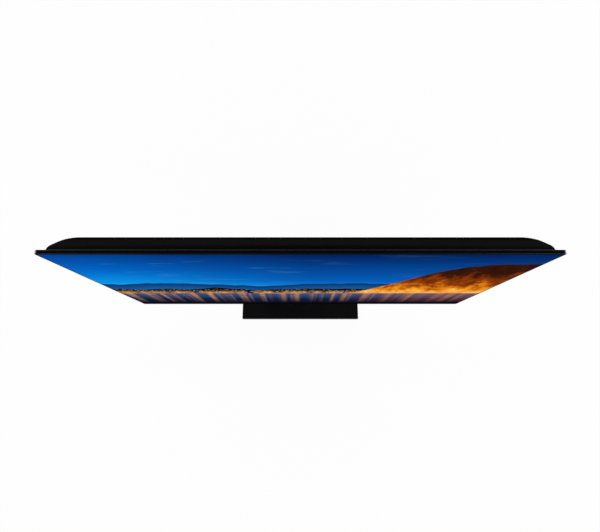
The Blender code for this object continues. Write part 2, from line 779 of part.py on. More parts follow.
def make_main_board():
    """L-shaped board that reaches round two walls of the socket bay."""
    left, right, low, high = MAIN_BOARD
    step = BAY_TOP + COVER_WALL + SEAT
    outline = [(left, low), (right, low), (right, high), (BAY_X0, high), (BAY_X0, step), (left, step)]
    board = add_part("main_board", prism(outline, "Y", BOARD_Y, BOARD_REAR), CIRCUIT_GREEN, SET_FRAME)
    middle = (left + right) / 2
    memory = middle - MEMORY_W / 2
    sink_low = low + MAIN_SINK_LOW
    sink = (middle - MAIN_SINK / 2, middle + MAIN_SINK / 2, sink_low, sink_low + MAIN_SINK)
    parts = [
        fins(*sink, MAIN_SINK_RISE, MAIN_SINK_FINS),
        chip(memory - MEMORY_PITCH / 2, low + MEMORY_LOW, MEMORY_W, MEMORY_H, MEMORY_T),
        chip(memory + MEMORY_PITCH / 2, low + MEMORY_LOW, MEMORY_W, MEMORY_H, MEMORY_T),
        chip(BAY_X0 + TUNER_IN, high - TUNER_DROP, TUNER_W, TUNER_H, TUNER_T),
        ribbon_connector(high - CONNECTOR_IN),
        chip(right - PLUG_IN - PLUG_W, HARNESS_Z - PLUG_H / 2, PLUG_W, PLUG_H, HARNESS_RISE),
    ]
    join(board, gather(parts))


def make_power_board():
    """Mains supply board: transformer, storage capacitors and a finned sink."""
    left, right, low, high = POWER_BOARD
    outline = [(left, low), (right, low), (right, high), (left, high)]
    board = add_part("power_board", prism(outline, "Y", BOARD_Y, BOARD_REAR), CIRCUIT_GREEN, SET_FRAME)
    can_top = BOARD_REAR + CAPACITOR_H
    can = [(CAPACITOR_R, BOARD_REAR - WELD), (CAPACITOR_R, can_top - CAPACITOR_EDGE)]
    can.append((CAPACITOR_R - CAPACITOR_EDGE, can_top))
    sink_right = right - POWER_SINK_IN
    sink_low = low + POWER_SINK_LOW
    sink = (sink_right - POWER_SINK_W, sink_right, sink_low, sink_low + POWER_SINK_L)
    parts = [
        chip(left + POWER_IN, low + TRANSFORMER_LOW, TRANSFORMER_W, TRANSFORMER_H, TRANSFORMER_T),
        fins(*sink, POWER_SINK_RISE, POWER_SINK_FINS),
        turned(can, "Y", SMALL_STEPS, centre=(left + POWER_IN, low + CAPACITOR_LOW)),
        turned(can, "Y", SMALL_STEPS, centre=(left + POWER_IN + CAPACITOR_PITCH, low + CAPACITOR_LOW)),
        chip(left + PLUG_IN, HARNESS_Z - PLUG_H / 2, PLUG_W, PLUG_H, HARNESS_RISE),
    ]
    join(board, gather(parts))


def make_timing_board():
    """Timing controller, between the main board and the panel's drive boards."""
    left, right, low, high = TCON_BOARD
    outline = [(left, low), (right, low), (right, high), (left, high)]
    board = add_part("timing_board", prism(outline, "Y", BOARD_Y, BOARD_REAR), CIRCUIT_GREEN, SET_FRAME)
    parts = [
        chip((left + right) / 2, low + TIMING_CHIP_LOW, TIMING_CHIP, TIMING_CHIP, TIMING_CHIP_T),
        chip(right - REGULATOR_IN, low + REGULATOR_LOW, REGULATOR_W, REGULATOR_H, REGULATOR_T),
        ribbon_connector(low + CONNECTOR_IN - CONNECTOR_H),
    ]
    join(board, gather(parts))


def make_source_boards():
    """Two narrow boards along the top that drive the panel's columns."""
    top = SET_H - SOURCE_INSET
    depth = PLATE_Y + PLATE_T + SEAT
    for name, side in (("source_board_left", -1), ("source_board_right", 1)):
        ends = sorted((side * SOURCE_MIDDLE_GAP / 2, side * (SOURCE_MIDDLE_GAP / 2 + SOURCE_L)))
        low = (ends[0], depth, top - SOURCE_H)
        high = (ends[1], depth + BOARD_T, top)
        add_part(name, block(low, high), CIRCUIT_GREEN, SET_FRAME)


def make_ribbon_cable():
    """Flat picture-signal cable from the main board up to the timing board."""
    low = MAIN_BOARD[3] - CONNECTOR_IN + RIBBON_LAP
    high = TCON_BOARD[2] + CONNECTOR_IN - RIBBON_LAP
    seat = BOARD_REAR + RIBBON_LIFT - RIBBON_T + SEAT
    crest = seat + RIBBON_CREST
    inner = [(seat, low), (seat, low + RIBBON_LEVEL), (crest, low + RIBBON_LEVEL + RIBBON_RAMP)]
    inner += [(crest, high - RIBBON_LEVEL - RIBBON_RAMP), (seat, high - RIBBON_LEVEL), (seat, high)]
    outer = [(y + RIBBON_T, z) for y, z in inner]
    strip = prism(inner + outer[::-1], "X", RIBBON_LEFT, RIBBON_LEFT + RIBBON_W)
    add_part("ribbon_cable", strip, CABLE_WHITE, SET_FRAME)


def make_power_harness():
    """Bundle of supply leads between the power board and the main board."""
    start = MAIN_BOARD[1] - PLUG_IN + SEAT
    end = POWER_BOARD[0] + PLUG_IN - SEAT
    depth = BOARD_REAR + HARNESS_RISE / 2
    curve = bpy.data.curves.new("power_harness", "CURVE")
    curve.dimensions = "3D"
    curve.bevel_depth = HARNESS_R
    curve.bevel_resolution = 2
    curve.use_fill_caps = True
    spline = curve.splines.new("POLY")
    spline.points.add(HARNESS_POINTS)
    for i, point in enumerate(spline.points):
        share = i / HARNESS_POINTS
        sag = math.sin(math.pi * share) ** 2
        x = start + (end - start) * share
        point.co = (x, depth + HARNESS_BULGE * sag, HARNESS_Z - HARNESS_SAG * sag, 1.0)
    curve.materials.append(CABLE_WHITE)
    harness = bpy.data.objects.new("power_harness", curve)
    bpy.context.scene.collection.objects.link(harness)
    harness.parent = SET_FRAME


# Sockets


def make_socket(name, axis, sign, outer, inner, mouth, length, depth, material):
    """A socket body with a blind opening: outlines across, mouth and length along the axis."""
    floor = mouth + sign * depth
    back = mouth + sign * length
    rows = [(inner, floor), (inner, mouth), (outer, mouth), (outer, back)]
    loops = [[on_axis(axis, a, b, along) for a, b in outline] for outline, along in rows]
    return add_part(name, loft(loops), material, SET_FRAME)


def hdmi_outline(z, grow):
    """Broad side up the board, with the two corners nearest the board cut off."""
    half = HDMI_W / 2 + grow
    low = SIDE_PORT_Y - grow
    high = SIDE_PORT_Y + HDMI_H + grow
    step = half - HDMI_NOTCH_W
    shoulder = low + HDMI_NOTCH_H
    return [
        (low, z - step), (low, z + step), (shoulder, z + half),
        (high, z + half), (high, z - half), (shoulder, z - half),
    ]


def oblong(a0, a1, b0, b1):
    return [(a0, b0), (a1, b0), (a1, b1), (a0, b1)]


def make_side_ports():
    """Picture and data sockets on the bay's upright wall, mouths facing the set's side."""
    for number, z in enumerate(HDMI_Z, 1):
        outer = hdmi_outline(z, PORT_WALL)
        inner = hdmi_outline(z, 0.0)
        span = (SIDE_MOUTH, SIDE_PORT_L, SIDE_PORT_DEPTH)
        make_socket(f"hdmi_socket_{number}", "X", 1, outer, inner, *span, BRIGHT_STEEL)
    half = USB_W / 2
    y0 = SIDE_PORT_Y
    y1 = SIDE_PORT_Y + USB_H
    outer = oblong(y0 - PORT_WALL, y1 + PORT_WALL, USB_Z - half - PORT_WALL, USB_Z + half + PORT_WALL)
    inner = oblong(y0, y1, USB_Z - half, USB_Z + half)
    make_socket("usb_socket", "X", 1, outer, inner, SIDE_MOUTH, SIDE_PORT_L, SIDE_PORT_DEPTH, BRIGHT_STEEL)


def make_down_ports():
    """Network and aerial sockets on the bay's upper wall, mouths facing down."""
    half = LAN_W / 2
    y0 = BAY_FLOOR + LAN_WALL + PORT_SIDE_LIFT
    y1 = y0 + LAN_H
    outer = oblong(LAN_X - half - LAN_WALL, LAN_X + half + LAN_WALL, y0 - LAN_WALL, y1 + LAN_WALL)
    inner = oblong(LAN_X - half, LAN_X + half, y0, y1)
    make_socket("network_socket", "Z", 1, outer, inner, DOWN_MOUTH, LAN_L, LAN_DEPTH, SATIN_BLACK)
    half = AERIAL_BODY / 2
    low = (AERIAL_X - half, AERIAL_Y - half, BAY_TOP + COVER_WALL + SEAT)
    high = (AERIAL_X + half, AERIAL_Y + half, BAY_TOP + COVER_WALL + SEAT + AERIAL_BODY)
    aerial = add_part("aerial_socket", block(low, high), BRIGHT_STEEL, SET_FRAME)
    tip = BAY_TOP - AERIAL_L
    rows = [(AERIAL_R - AERIAL_EDGE, tip), (AERIAL_R, tip + AERIAL_EDGE), (AERIAL_R, low[2] + WELD)]
    join(aerial, turned(rows, "Z", SMALL_STEPS, centre=(AERIAL_X, AERIAL_Y)))


def stadium(a, b, length, width, steps=6):
    """An outline with straight sides and round ends, long along the second coordinate."""
    radius = width / 2
    reach = length / 2 - radius
    points = []
    for end in (1, -1):
        for i in range(steps + 1):
            turn = math.pi * i / steps
            points.append((a + end * radius * math.cos(turn), b + end * (reach + radius * math.sin(turn))))
    return points


def make_mains_inlet():
    """Two-pin mains inlet, its mouth facing the set's side."""
    outer = stadium(MAINS_Y, MAINS_Z, MAINS_W + 2 * MAINS_WALL, MAINS_H + 2 * MAINS_WALL)
    inner = stadium(MAINS_Y, MAINS_Z, MAINS_W, MAINS_H)
    span = (MAINS_MOUTH, MAINS_L, MAINS_DEPTH)
    inlet = make_socket("mains_inlet", "X", -1, outer, inner, *span, SATIN_BLACK)
    floor = MAINS_MOUTH - MAINS_DEPTH
    rows = [(MAINS_PIN_R, floor - WELD), (MAINS_PIN_R, MAINS_MOUTH - MAINS_PIN_SUNK)]
    places = [MAINS_Z - MAINS_PIN_PITCH / 2, MAINS_Z + MAINS_PIN_PITCH / 2]
    join(inlet, gather([turned(rows, "X", FINE_STEPS, centre=(MAINS_Y, z)) for z in places]))


def socket_holes():
    """Openings in the socket tray's walls, each a clearance larger than its socket."""
    gap = PORT_WALL + HOLE_GAP
    near = BAY_X1 - OVERCUT / 4
    far = BAY_X1 + COVER_WALL + OVERCUT / 4
    holes = [prism(hdmi_outline(z, gap), "X", near, far) for z in HDMI_Z]
    half = USB_W / 2 + gap
    usb = oblong(SIDE_PORT_Y - gap, SIDE_PORT_Y + USB_H + gap, USB_Z - half, USB_Z + half)
    holes.append(prism(usb, "X", near, far))
    low = BAY_TOP - OVERCUT / 4
    high = BAY_TOP + COVER_WALL + OVERCUT / 4
    half = LAN_W / 2 + LAN_WALL + HOLE_GAP
    y0 = BAY_FLOOR + PORT_SIDE_LIFT - HOLE_GAP
    y1 = BAY_FLOOR + PORT_SIDE_LIFT + 2 * LAN_WALL + LAN_H + HOLE_GAP
    holes.append(prism(oblong(LAN_X - half, LAN_X + half, y0, y1), "Z", low, high))
    rows = [(AERIAL_R + HOLE_GAP, low), (AERIAL_R + HOLE_GAP, high)]
    holes.append(turned(rows, "Z", SMALL_STEPS, centre=(AERIAL_X, AERIAL_Y)))
    return holes


def mains_hole():
    """Opening in the mains tray's wall, a clearance larger than the inlet."""
    gap = 2 * (MAINS_WALL + HOLE_GAP)
    outline = stadium(MAINS_Y, MAINS_Z, MAINS_W + gap, MAINS_H + gap)
    return prism(outline, "X", MAINS_BAY_X0 - COVER_WALL - OVERCUT / 4, MAINS_BAY_X0 + OVERCUT / 4)


def make_tray(name, bay, holes):
    """Moulded tray that lines a bay behind the cover's back, with its sockets' openings cut in."""
    left, right, low, high = bay
    wall = COVER_WALL
    outer = oblong(left - wall, right + wall, low - wall, high + wall)
    depth = SET_DEPTH - BAY_FLOOR
    tray = make_socket(name, "Y", -1, outer, oblong(*bay), SET_DEPTH, depth + wall, depth, MATT_BLACK)
    cut(tray, gather(holes))


def tray_openings():
    """Openings in the cover's back that take the trays, a seat larger than they are."""
    grow = COVER_WALL + SEAT
    near = COVER_INSIDE - OVERCUT / 4
    far = SET_DEPTH + OVERCUT
    openings = []
    for left, right, low, high in (SOCKET_BAY, MAINS_BAY):
        openings.append(block((left - grow, near, low - grow), (right + grow, far, high + grow)))
    return openings


# Rear cover


def fillet(corner, slope_in, slope_out, radius, steps):
    """Points (inset, depth, slope) on an arc that rounds the corner of two straight runs."""
    reach = radius * math.tan((slope_in - slope_out) / 2)
    start = (corner[0] - reach * math.cos(slope_in), corner[1] - reach * math.sin(slope_in))
    middle = (start[0] + radius * math.sin(slope_in), start[1] - radius * math.cos(slope_in))
    points = []
    for i in range(steps + 1):
        slope = slope_in + (slope_out - slope_in) * i / steps
        inset = middle[0] - radius * math.sin(slope)
        depth = middle[1] + radius * math.cos(slope)
        points.append((inset, depth, slope))
    return points


def flank_path():
    """The cover's outer skin from its foot on the rim to the flat back."""
    wall_slope = math.atan2(FLANK_RISE, FLANK_DRAFT)
    knee = (FLANK_INSET + FLANK_DRAFT, RIM_DEPTH + FLANK_RISE)
    brow = (knee[0] + (SET_DEPTH - knee[1]) / math.tan(FLANK_SLOPE), SET_DEPTH)
    path = [(FLANK_INSET, RIM_DEPTH, wall_slope)]
    path += fillet(knee, wall_slope, FLANK_SLOPE, KNEE_R, KNEE_STEPS)
    path += fillet(brow, FLANK_SLOPE, 0.0, BROW_R, BROW_STEPS)
    return path


def cover_skin():
    """The cover's outside as a filled body: flat flange, steep foot, sloped flank, flat back."""
    edge = COVER_EDGE_R
    rows = [(0.0, FLANGE_Y, CORNER_R), (0.0, RIM_DEPTH - edge, CORNER_R)]
    rows.append((edge, RIM_DEPTH, CORNER_R - edge))
    rows += [(inset, depth, COVER_CORNER_R) for inset, depth, _ in flank_path()]
    return loft([set_loop(inset, inset, depth, radius) for inset, depth, radius in rows])


def cover_hollow():
    """The room inside the cover: the skin's path moved in by the wall, open to the front."""
    inner_r = COVER_CORNER_R - COVER_WALL
    rows = []
    for inset, depth, slope in flank_path():
        rows.append((inset + COVER_WALL * math.sin(slope), depth - COVER_WALL * math.cos(slope)))
    mouth = (rows[0][0], FLANGE_Y - OVERCUT)
    return loft([set_loop(inset, inset, depth, inner_r) for inset, depth in [mouth] + rows])


def well_places():
    """Places of the deep screw wells round the flat of the back."""
    side = SET_W / 2 - WELL_INSET
    top = SET_H - WELL_INSET
    places = [(s * WELL_SPREAD, top) for s in (-1, 0, 1)]
    places += [(s * side, level * SET_H) for s in (-1, 1) for level in WELL_LEVELS]
    low_row = (POCKET_W / 2 + WELL_POCKET_GAP, side)
    places += [(s * x, WELL_INSET) for s in (-1, 1) for x in low_row]
    return places


def standing_walls():
    """Solid left inside the cover's hollow: walls of the neck pocket, the wells and the jog dish."""
    far = SET_DEPTH + OVERCUT
    wall = COVER_WALL
    solids = [
        block((-POCKET_W / 2 - wall, POCKET_FLOOR - POCKET_FLOOR_T, -OVERCUT),
              (POCKET_W / 2 + wall, far, POCKET_TOP + wall)),
        turned([(JOG_DISH_R + wall, JOG_DISH_Y - wall), (JOG_DISH_R + wall, far)], "Y", HALF_ROUND_STEPS,
               centre=(JOG_X, JOG_LOW)),
    ]
    boss = [(WELL_R + WELL_WALL, PAN_REAR + SEAT), (WELL_R + WELL_WALL, far)]
    solids += [turned(boss, "Y", FINE_STEPS, centre=place) for place in well_places()]
    return solids


def pockets():
    """Recesses sunk into the cover from behind."""
    far = SET_DEPTH + OVERCUT
    jog = [(JOG_DISH_R - JOG_DISH_TAPER, JOG_DISH_Y), (JOG_DISH_R, SET_DEPTH), (JOG_DISH_R, far)]
    recesses = [
        block((-POCKET_W / 2, POCKET_FLOOR, -2 * OVERCUT), (POCKET_W / 2, far, POCKET_TOP)),
        turned(jog, "Y", HALF_ROUND_STEPS, centre=(JOG_X, JOG_LOW)),
    ]
    well = [(WELL_R, PAN_REAR + SEAT + WELL_FLOOR), (WELL_R, far)]
    recesses += [turned(well, "Y", FINE_STEPS, centre=place) for place in well_places()]
    return recesses


def vent_slots():
    """Upright air slots: two groups near the top and one low group under the power board."""
    near = COVER_INSIDE - OVERCUT / 4
    far = SET_DEPTH + OVERCUT
    slots = []
    top = SET_H - VENT_TOP_INSET
    for side in (-1, 1):
        for i in range(VENT_COUNT):
            x = side * (VENT_MIDDLE_GAP / 2 + VENT_PITCH * (i + 0.5))
            low = (x - VENT_W / 2, near, top - VENT_H)
            slots.append(block(low, (x + VENT_W / 2, far, top)))
    for i in range(INTAKE_COUNT):
        x = POCKET_W / 2 + COVER_WALL + VENT_PITCH * (i + 1.5)
        low = (x - VENT_W / 2, near, BAY_LOW - INTAKE_H)
        slots.append(block(low, (x + VENT_W / 2, far, BAY_LOW)))
    return slots


def sound_slots():
    """Slots through the lower flank, square to its slope, under each loudspeaker."""
    path = flank_path()
    start = path[1 + KNEE_STEPS]
    end = path[2 + KNEE_STEPS]
    middle = Vector((0.0, (start[1] + end[1]) / 2, (start[0] + end[0]) / 2))
    turn = Matrix.Rotation(FLANK_SLOPE, 4, "X")
    half = Vector((SOUND_SLOT_W / 2, SOUND_SLOT_L / 2, 2 * COVER_WALL))
    slots = []
    for side in (-1, 1):
        centre = side * (SET_W / 2 - SPEAKER_EDGE - SPEAKER_L / 2)
        for i in range(SOUND_SLOT_COUNT):
            x = centre + SOUND_SLOT_PITCH * (i - (SOUND_SLOT_COUNT - 1) / 2)
            slot = block(-half, half)
            bmesh.ops.rotate(slot, verts=slot.verts, matrix=turn)
            slots.append(moved(slot, middle + Vector((x, 0.0, 0.0))))
    return slots


def make_rear_cover():
    """Moulded rear housing: a shell with trays' openings, wells, bushes' holes, vents and sound slots."""
    cover = add_part("rear_cover", cover_skin(), MATT_BLACK, SET_FRAME)
    hollow = cut(cover, cover_hollow())
    cut(hollow, gather(standing_walls()))
    cut(cover, gather(pockets()))
    far = SET_DEPTH + OVERCUT
    bush = [(BUSH_R + HOLE_GAP, COVER_INSIDE - OVERCUT / 2), (BUSH_R + HOLE_GAP, far)]
    screw = [(SCREW_R + HOLE_GAP, POCKET_FLOOR - POCKET_FLOOR_T - OVERCUT / 4)]
    screw.append((SCREW_R + HOLE_GAP, POCKET_FLOOR + OVERCUT / 4))
    jog = [(JOG_HOLE_R, JOG_DISH_Y - COVER_WALL - OVERCUT / 4), (JOG_HOLE_R, JOG_DISH_Y + OVERCUT / 4)]
    holes = tray_openings()
    holes += [turned(bush, "Y", SMALL_STEPS, centre=place) for place in BUSH_PLACES]
    holes += [turned(screw, "Y", SCREW_STEPS, centre=place) for place in SCREW_PLACES]
    holes.append(turned(jog, "Y", SMALL_STEPS, centre=(JOG_X, JOG_LOW)))
    cut(cover, gather(holes))
    cut(cover, gather(vent_slots() + sound_slots()))


def make_wall_mount_bushes():
    """Threaded bushes that stand on the pan and end just inside the cover's back."""
    front = PAN_REAR + SEAT
    rear = SET_DEPTH - BUSH_SUNK
    floor = rear - BUSH_BORE_DEPTH
    rows = [(BUSH_BORE_R, floor), (BUSH_BORE_R, rear), (BUSH_R, rear), (BUSH_R, front)]
    for number, place in enumerate(BUSH_PLACES, 1):
        bush = turned(rows, "Y", SMALL_STEPS)
        add_part(f"wall_mount_bush_{number}", bush, BRIGHT_STEEL, SET_FRAME, (place[0], 0.0, place[1]))


# Loudspeakers, sensor and network module


def make_speaker(name, side):
    """Shallow loudspeaker box with an oval driver that fires down."""
    centre = side * (SET_W / 2 - SPEAKER_EDGE - SPEAKER_L / 2)
    front = PAN_REAR + SEAT
    rear = front + SPEAKER_D
    half = SPEAKER_L / 2
    top = SPEAKER_LOW + SPEAKER_H
    outline = rounded_outline(centre - half, centre + half, SPEAKER_LOW, top, SPEAKER_CORNER_R, BLUNT_STEPS)
    box = add_part(f"speaker_box_{name}", prism(outline, "Y", front, rear), SATIN_BLACK, SET_FRAME)
    middle = (front + rear) / 2
    gap = 2 * HOLE_GAP
    seat = [(x, y) for y, x in stadium(middle, centre, DRIVER_L + gap, DRIVER_W + gap)]
    cut(box, prism(seat, "Z", SPEAKER_LOW - OVERCUT, SPEAKER_LOW + DRIVER_H + HOLE_GAP))
    rows = [
        (CONE_L, CONE_W, SPEAKER_LOW + CONE_DEPTH),
        (DRIVER_L - 2 * DRIVER_RIM, DRIVER_W - 2 * DRIVER_RIM, SPEAKER_LOW + DRIVER_RIM / 2),
        (DRIVER_L - DRIVER_RIM, DRIVER_W - DRIVER_RIM, SPEAKER_LOW),
        (DRIVER_L, DRIVER_W, SPEAKER_LOW),
        (DRIVER_L, DRIVER_W, SPEAKER_LOW + DRIVER_H),
    ]
    loops = []
    for length, width, height in rows:
        outline = stadium(middle, centre, length, width)
        loops.append([on_axis("Z", x, y, height) for y, x in outline])
    add_part(f"speaker_driver_{name}", loft(loops), RUBBER, SET_FRAME)


def make_remote_sensor():
    """Smoked lens set in the bottom bezel, with the sensor's board behind it."""
    low = (-LENS_W / 2, 0.0, LENS_LOW)
    high = (LENS_W / 2, LENS_T, LENS_LOW + LENS_H)
    add_part("sensor_lens", block(low, high), SMOKED_LENS, SET_FRAME)
    half = LENS_W / 2 + SENSOR_MARGIN
    low = (-half, LENS_T + SHEET_GAP, LENS_LOW - SENSOR_MARGIN / 2)
    high = (half, LENS_T + SHEET_GAP + SENSOR_BOARD_T, LENS_LOW + LENS_H + SENSOR_MARGIN / 2)
    add_part("sensor_board", block(low, high), CIRCUIT_GREEN, SET_FRAME)


def make_network_module():
    """Small radio module stuck to the pan beside the mains bay."""
    left = MAINS_BAY_X0
    low = (left, PAN_REAR + SEAT, MAINS_BAY_LOW + MAINS_BAY_H + NETWORK_LIFT)
    high = (left + NETWORK_W, PAN_REAR + SEAT + NETWORK_T, low[2] + NETWORK_H)
    add_part("radio_module", block(low, high), CIRCUIT_GREEN, SET_FRAME)


# Jog control: a stick on a two-way gimbal that rides on a push plunger


def pin_pair(axis, root, reach):
    """Two short pivot pins on one axis, one each way."""
    pins = [[(JOG_PIN_R, side * root), (JOG_PIN_R, side * reach)] for side in (-1, 1)]
    return gather([turned(rows, axis, FINE_STEPS) for rows in pins])


def make_jog_control():
    """Built round the gimbal's centre: x and z are its tilt axes, +y points out of the back."""
    y0 = JOG_BODY_FRONT - JOG_PIVOT_Y
    y1 = JOG_BODY_REAR - JOG_PIVOT_Y
    bore = JOG_BODY_R - JOG_BODY_WALL
    rows = [(bore, y0 + JOG_FLOOR), (bore, y1), (JOG_BODY_R, y1), (JOG_BODY_R, y0)]
    add_part("jog_housing", turned(rows, "Y", HALF_ROUND_STEPS), SATIN_BLACK, JOG_FRAME)

    y0 = JOG_PLUNGER_FRONT - JOG_PIVOT_Y
    y1 = y0 + JOG_PLUNGER_L
    rows = [(JOG_CUP_R, y0 + JOG_FLOOR), (JOG_CUP_R, y1), (JOG_PLUNGER_R, y1), (JOG_PLUNGER_R, y0)]
    plunger = add_part("jog_plunger", turned(rows, "Y", HALF_ROUND_STEPS), WHITE_PLASTIC, JOG_FRAME)
    hole = JOG_PIN_R + JOG_PIN_GAP
    cut(plunger, turned([(hole, -JOG_BODY_R), (hole, JOG_BODY_R)], "Z", FINE_STEPS))

    half = JOG_RING_L / 2
    rows = [(JOG_RING_IN_R, -half), (JOG_RING_IN_R, half), (JOG_RING_R, half), (JOG_RING_R, -half)]
    ring = add_part("jog_gimbal", turned(rows, "Y", HALF_ROUND_STEPS, ring=True), ACETAL, JOG_FRAME)
    cut(ring, turned([(hole, -JOG_BODY_R), (hole, JOG_BODY_R)], "X", FINE_STEPS))
    reach = JOG_PLUNGER_R - SEAT
    root = JOG_RING_R - WELD
    join(ring, pin_pair("Z", root, reach))

    under = JOG_DISH_Y + JOG_HEAD_LIFT - JOG_PIVOT_Y
    top = under + JOG_HEAD_H
    rows = [(JOG_STEM_R, -half), (JOG_STEM_R, under), (JOG_HEAD_R, under)]
    rows += [(JOG_HEAD_R, top - JOG_HEAD_EDGE), (JOG_HEAD_R - JOG_HEAD_EDGE, top)]
    rows.append((JOG_CROWN_R, top - JOG_CROWN_DIP))
    stick = add_part("jog_stick", turned(rows, "Y", HALF_ROUND_STEPS), SATIN_BLACK, JOG_FRAME)
    reach = JOG_RING_R - SEAT
    root = JOG_STEM_R - WELD
    join(stick, pin_pair("X", root, reach))


# Stand


def make_stand_bracket():
    """Hat-section steel bracket on the pan that takes the neck's screws."""
    foot = PAN_REAR + SEAT
    crown = POCKET_FLOOR - POCKET_FLOOR_T - SEAT
    half = BRACKET_W / 2
    wide = half + BRACKET_FLANGE
    sheet = BRACKET_SHEET
    right = [(wide, foot + sheet), (half, foot + sheet), (half, crown)]
    left = [(-x, y) for x, y in right[::-1]]
    under = [(-wide, foot), (-half + sheet, foot), (-half + sheet, crown - sheet)]
    under += [(-x, y) for x, y in under[::-1]]
    outline = right + left + under
    bracket = add_part("stand_bracket", prism(outline, "Z", BRACKET_LOW, BRACKET_TOP), SHEET_STEEL, SET_FRAME)
    rows = [(SCREW_R + HOLE_GAP, crown - sheet - OVERCUT / 4), (SCREW_R + HOLE_GAP, crown + OVERCUT / 4)]
    cut(bracket, gather([turned(rows, "Y", SCREW_STEPS, centre=place) for place in SCREW_PLACES]))


def neck_outline(share):
    """The sleeve's width and depth between its foot (0) and its top (1), flaring smoothly."""
    eased = share * share * (3 - 2 * share)
    width = SLEEVE_FOOT_W + (SLEEVE_TOP_W - SLEEVE_FOOT_W) * eased
    depth = SLEEVE_FOOT_D + (SLEEVE_TOP_D - SLEEVE_FOOT_D) * eased
    return width, depth


def make_neck():
    """Steel core with its turntable and tongue, in a flared plastic sleeve."""
    table_top = TURNTABLE_Z + TURNTABLE_T
    tongue_low = SET_BOTTOM + TONGUE_LOW
    tongue_top = SET_BOTTOM + TONGUE_TOP
    front = -NECK_BAR_T / 2
    edge = TURNTABLE_EDGE
    rows = [(TURNTABLE_R, TURNTABLE_Z), (TURNTABLE_R, table_top - edge), (TURNTABLE_R - edge, table_top)]
    core = add_part("neck_core", turned(rows, "Z", WIDE_STEPS), DARK_STEEL, SWIVEL_FRAME)
    bar = block((-NECK_BAR_W / 2, front, table_top - WELD), (NECK_BAR_W / 2, -front, tongue_low + WELD))
    join(core, bar)
    half = TONGUE_W / 2
    outline = rounded_outline(-half, half, tongue_low, tongue_top, TONGUE_CORNER_R, BLUNT_STEPS)
    join(core, prism(outline, "Y", front, front + TONGUE_T))
    rows = [(SCREW_R + HOLE_GAP, front - OVERCUT), (SCREW_R + HOLE_GAP, front + TONGUE_T + OVERCUT)]
    holes = [turned(rows, "Y", SCREW_STEPS, centre=(x, SET_BOTTOM + z)) for x, z in SCREW_PLACES]
    floor = TURNTABLE_Z + SHAFT_BITE + HOLE_GAP
    for radius, place in ((SHAFT_R, (0.0, 0.0)), (STOP_PIN_R, (0.0, STOP_RADIUS))):
        blind = radius + HOLE_GAP
        holes.append(turned([(blind, 0.0), (blind, floor)], "Z", HALF_ROUND_STEPS, centre=place))
    cut(core, gather(holes))

    low = table_top + SEAT
    high = SET_BOTTOM + SLEEVE_TOP
    shares = [i / SLEEVE_LEVELS for i in range(SLEEVE_LEVELS + 1)]
    loops = []
    for wall, order in ((SLEEVE_WALL, shares[::-1]), (0.0, shares)):
        for share in order:
            width, depth = neck_outline(share)
            half_w = width / 2 - wall
            half_d = depth / 2 - wall
            corner = SLEEVE_CORNER_R - wall
            outline = rounded_outline(-half_w, half_w, -half_d, half_d, corner, BLUNT_STEPS)
            z = low + (high - low) * share
            loops.append([on_axis("Z", x, y, z) for x, y in outline])
    add_part("neck_sleeve", loft(loops, True), GLOSS_BLACK, SWIVEL_FRAME)


def make_neck_screws():
    """Four screws through the neck's tongue and the pocket's floor into the bracket."""
    seat = TONGUE_T - NECK_BAR_T / 2 + SEAT
    tip = POCKET_FLOOR - POCKET_FLOOR_T - BRACKET_SHEET - SCREW_REACH - SWIVEL_DEPTH
    rows = [(SCREW_R, tip), (SCREW_R, seat), (SCREW_HEAD_R, seat)]
    rows += [(SCREW_HEAD_R, seat + SCREW_HEAD_FLAT), (SCREW_TOP_R, seat + SCREW_HEAD_H)]
    for number, (x, z) in enumerate(SCREW_PLACES, 1):
        screw = turned(rows, "Y", FINE_STEPS)
        add_part(f"neck_screw_{number}", screw, BRIGHT_STEEL, SWIVEL_FRAME, (x, 0.0, SET_BOTTOM + z))


def washer(name, low, high, outer, inner, material):
    rows = [(inner, low), (inner, high), (outer, high), (outer, low)]
    add_part(name, turned(rows, "Z", ROUND_STEPS, ring=True), material, SWIVEL_FRAME)


def make_swivel():
    """Shaft, washers, disc spring and nut that hold the neck on the ballast plate, and its stop."""
    bore = SHAFT_R + HOLE_GAP
    rows = [(SHAFT_R, UNDER_Z + UNDER_T + SEAT), (SHAFT_R, TURNTABLE_Z + SHAFT_BITE)]
    add_part("swivel_shaft", turned(rows, "Z", HALF_ROUND_STEPS), BRIGHT_STEEL, SWIVEL_FRAME)
    washer("upper_washer", HIGH_WASHER_Z, HIGH_WASHER_Z + WASHER_T, WASHER_R, bore, ACETAL)
    washer("lower_washer", LOW_WASHER_Z, LOW_WASHER_Z + WASHER_T, WASHER_R, bore, ACETAL)
    low = SPRING_Z
    rise = SPRING_RISE
    rows = [(bore, low), (bore, low + SPRING_T), (SPRING_R, low + SPRING_T + rise), (SPRING_R, low + rise)]
    add_part("disc_spring", turned(rows, "Z", ROUND_STEPS, ring=True), BRIGHT_STEEL, SWIVEL_FRAME)
    loops = []
    for flat, z in ((False, NUT_Z), (False, NUT_Z + NUT_T), (True, NUT_Z + NUT_T), (True, NUT_Z)):
        loop = []
        for i in range(NUT_STEPS):
            turn = 2 * math.pi * i / NUT_STEPS
            sixth = (turn + math.pi / 6) % (math.pi / 3) - math.pi / 6
            radius = NUT_FLATS / 2 / math.cos(sixth) if flat else bore
            loop.append(on_axis("Z", radius * math.cos(turn), radius * math.sin(turn), z))
        loops.append(loop)
    add_part("swivel_nut", loft(loops, True), BRIGHT_STEEL, SWIVEL_FRAME)
    rows = [(STOP_PIN_R, BALLAST_Z + HOLE_GAP), (STOP_PIN_R, TURNTABLE_Z + SHAFT_BITE)]
    pin = turned(rows, "Z", FINE_STEPS)
    add_part("stop_pin", pin, BRIGHT_STEEL, SWIVEL_FRAME, (0.0, STOP_RADIUS, 0.0))


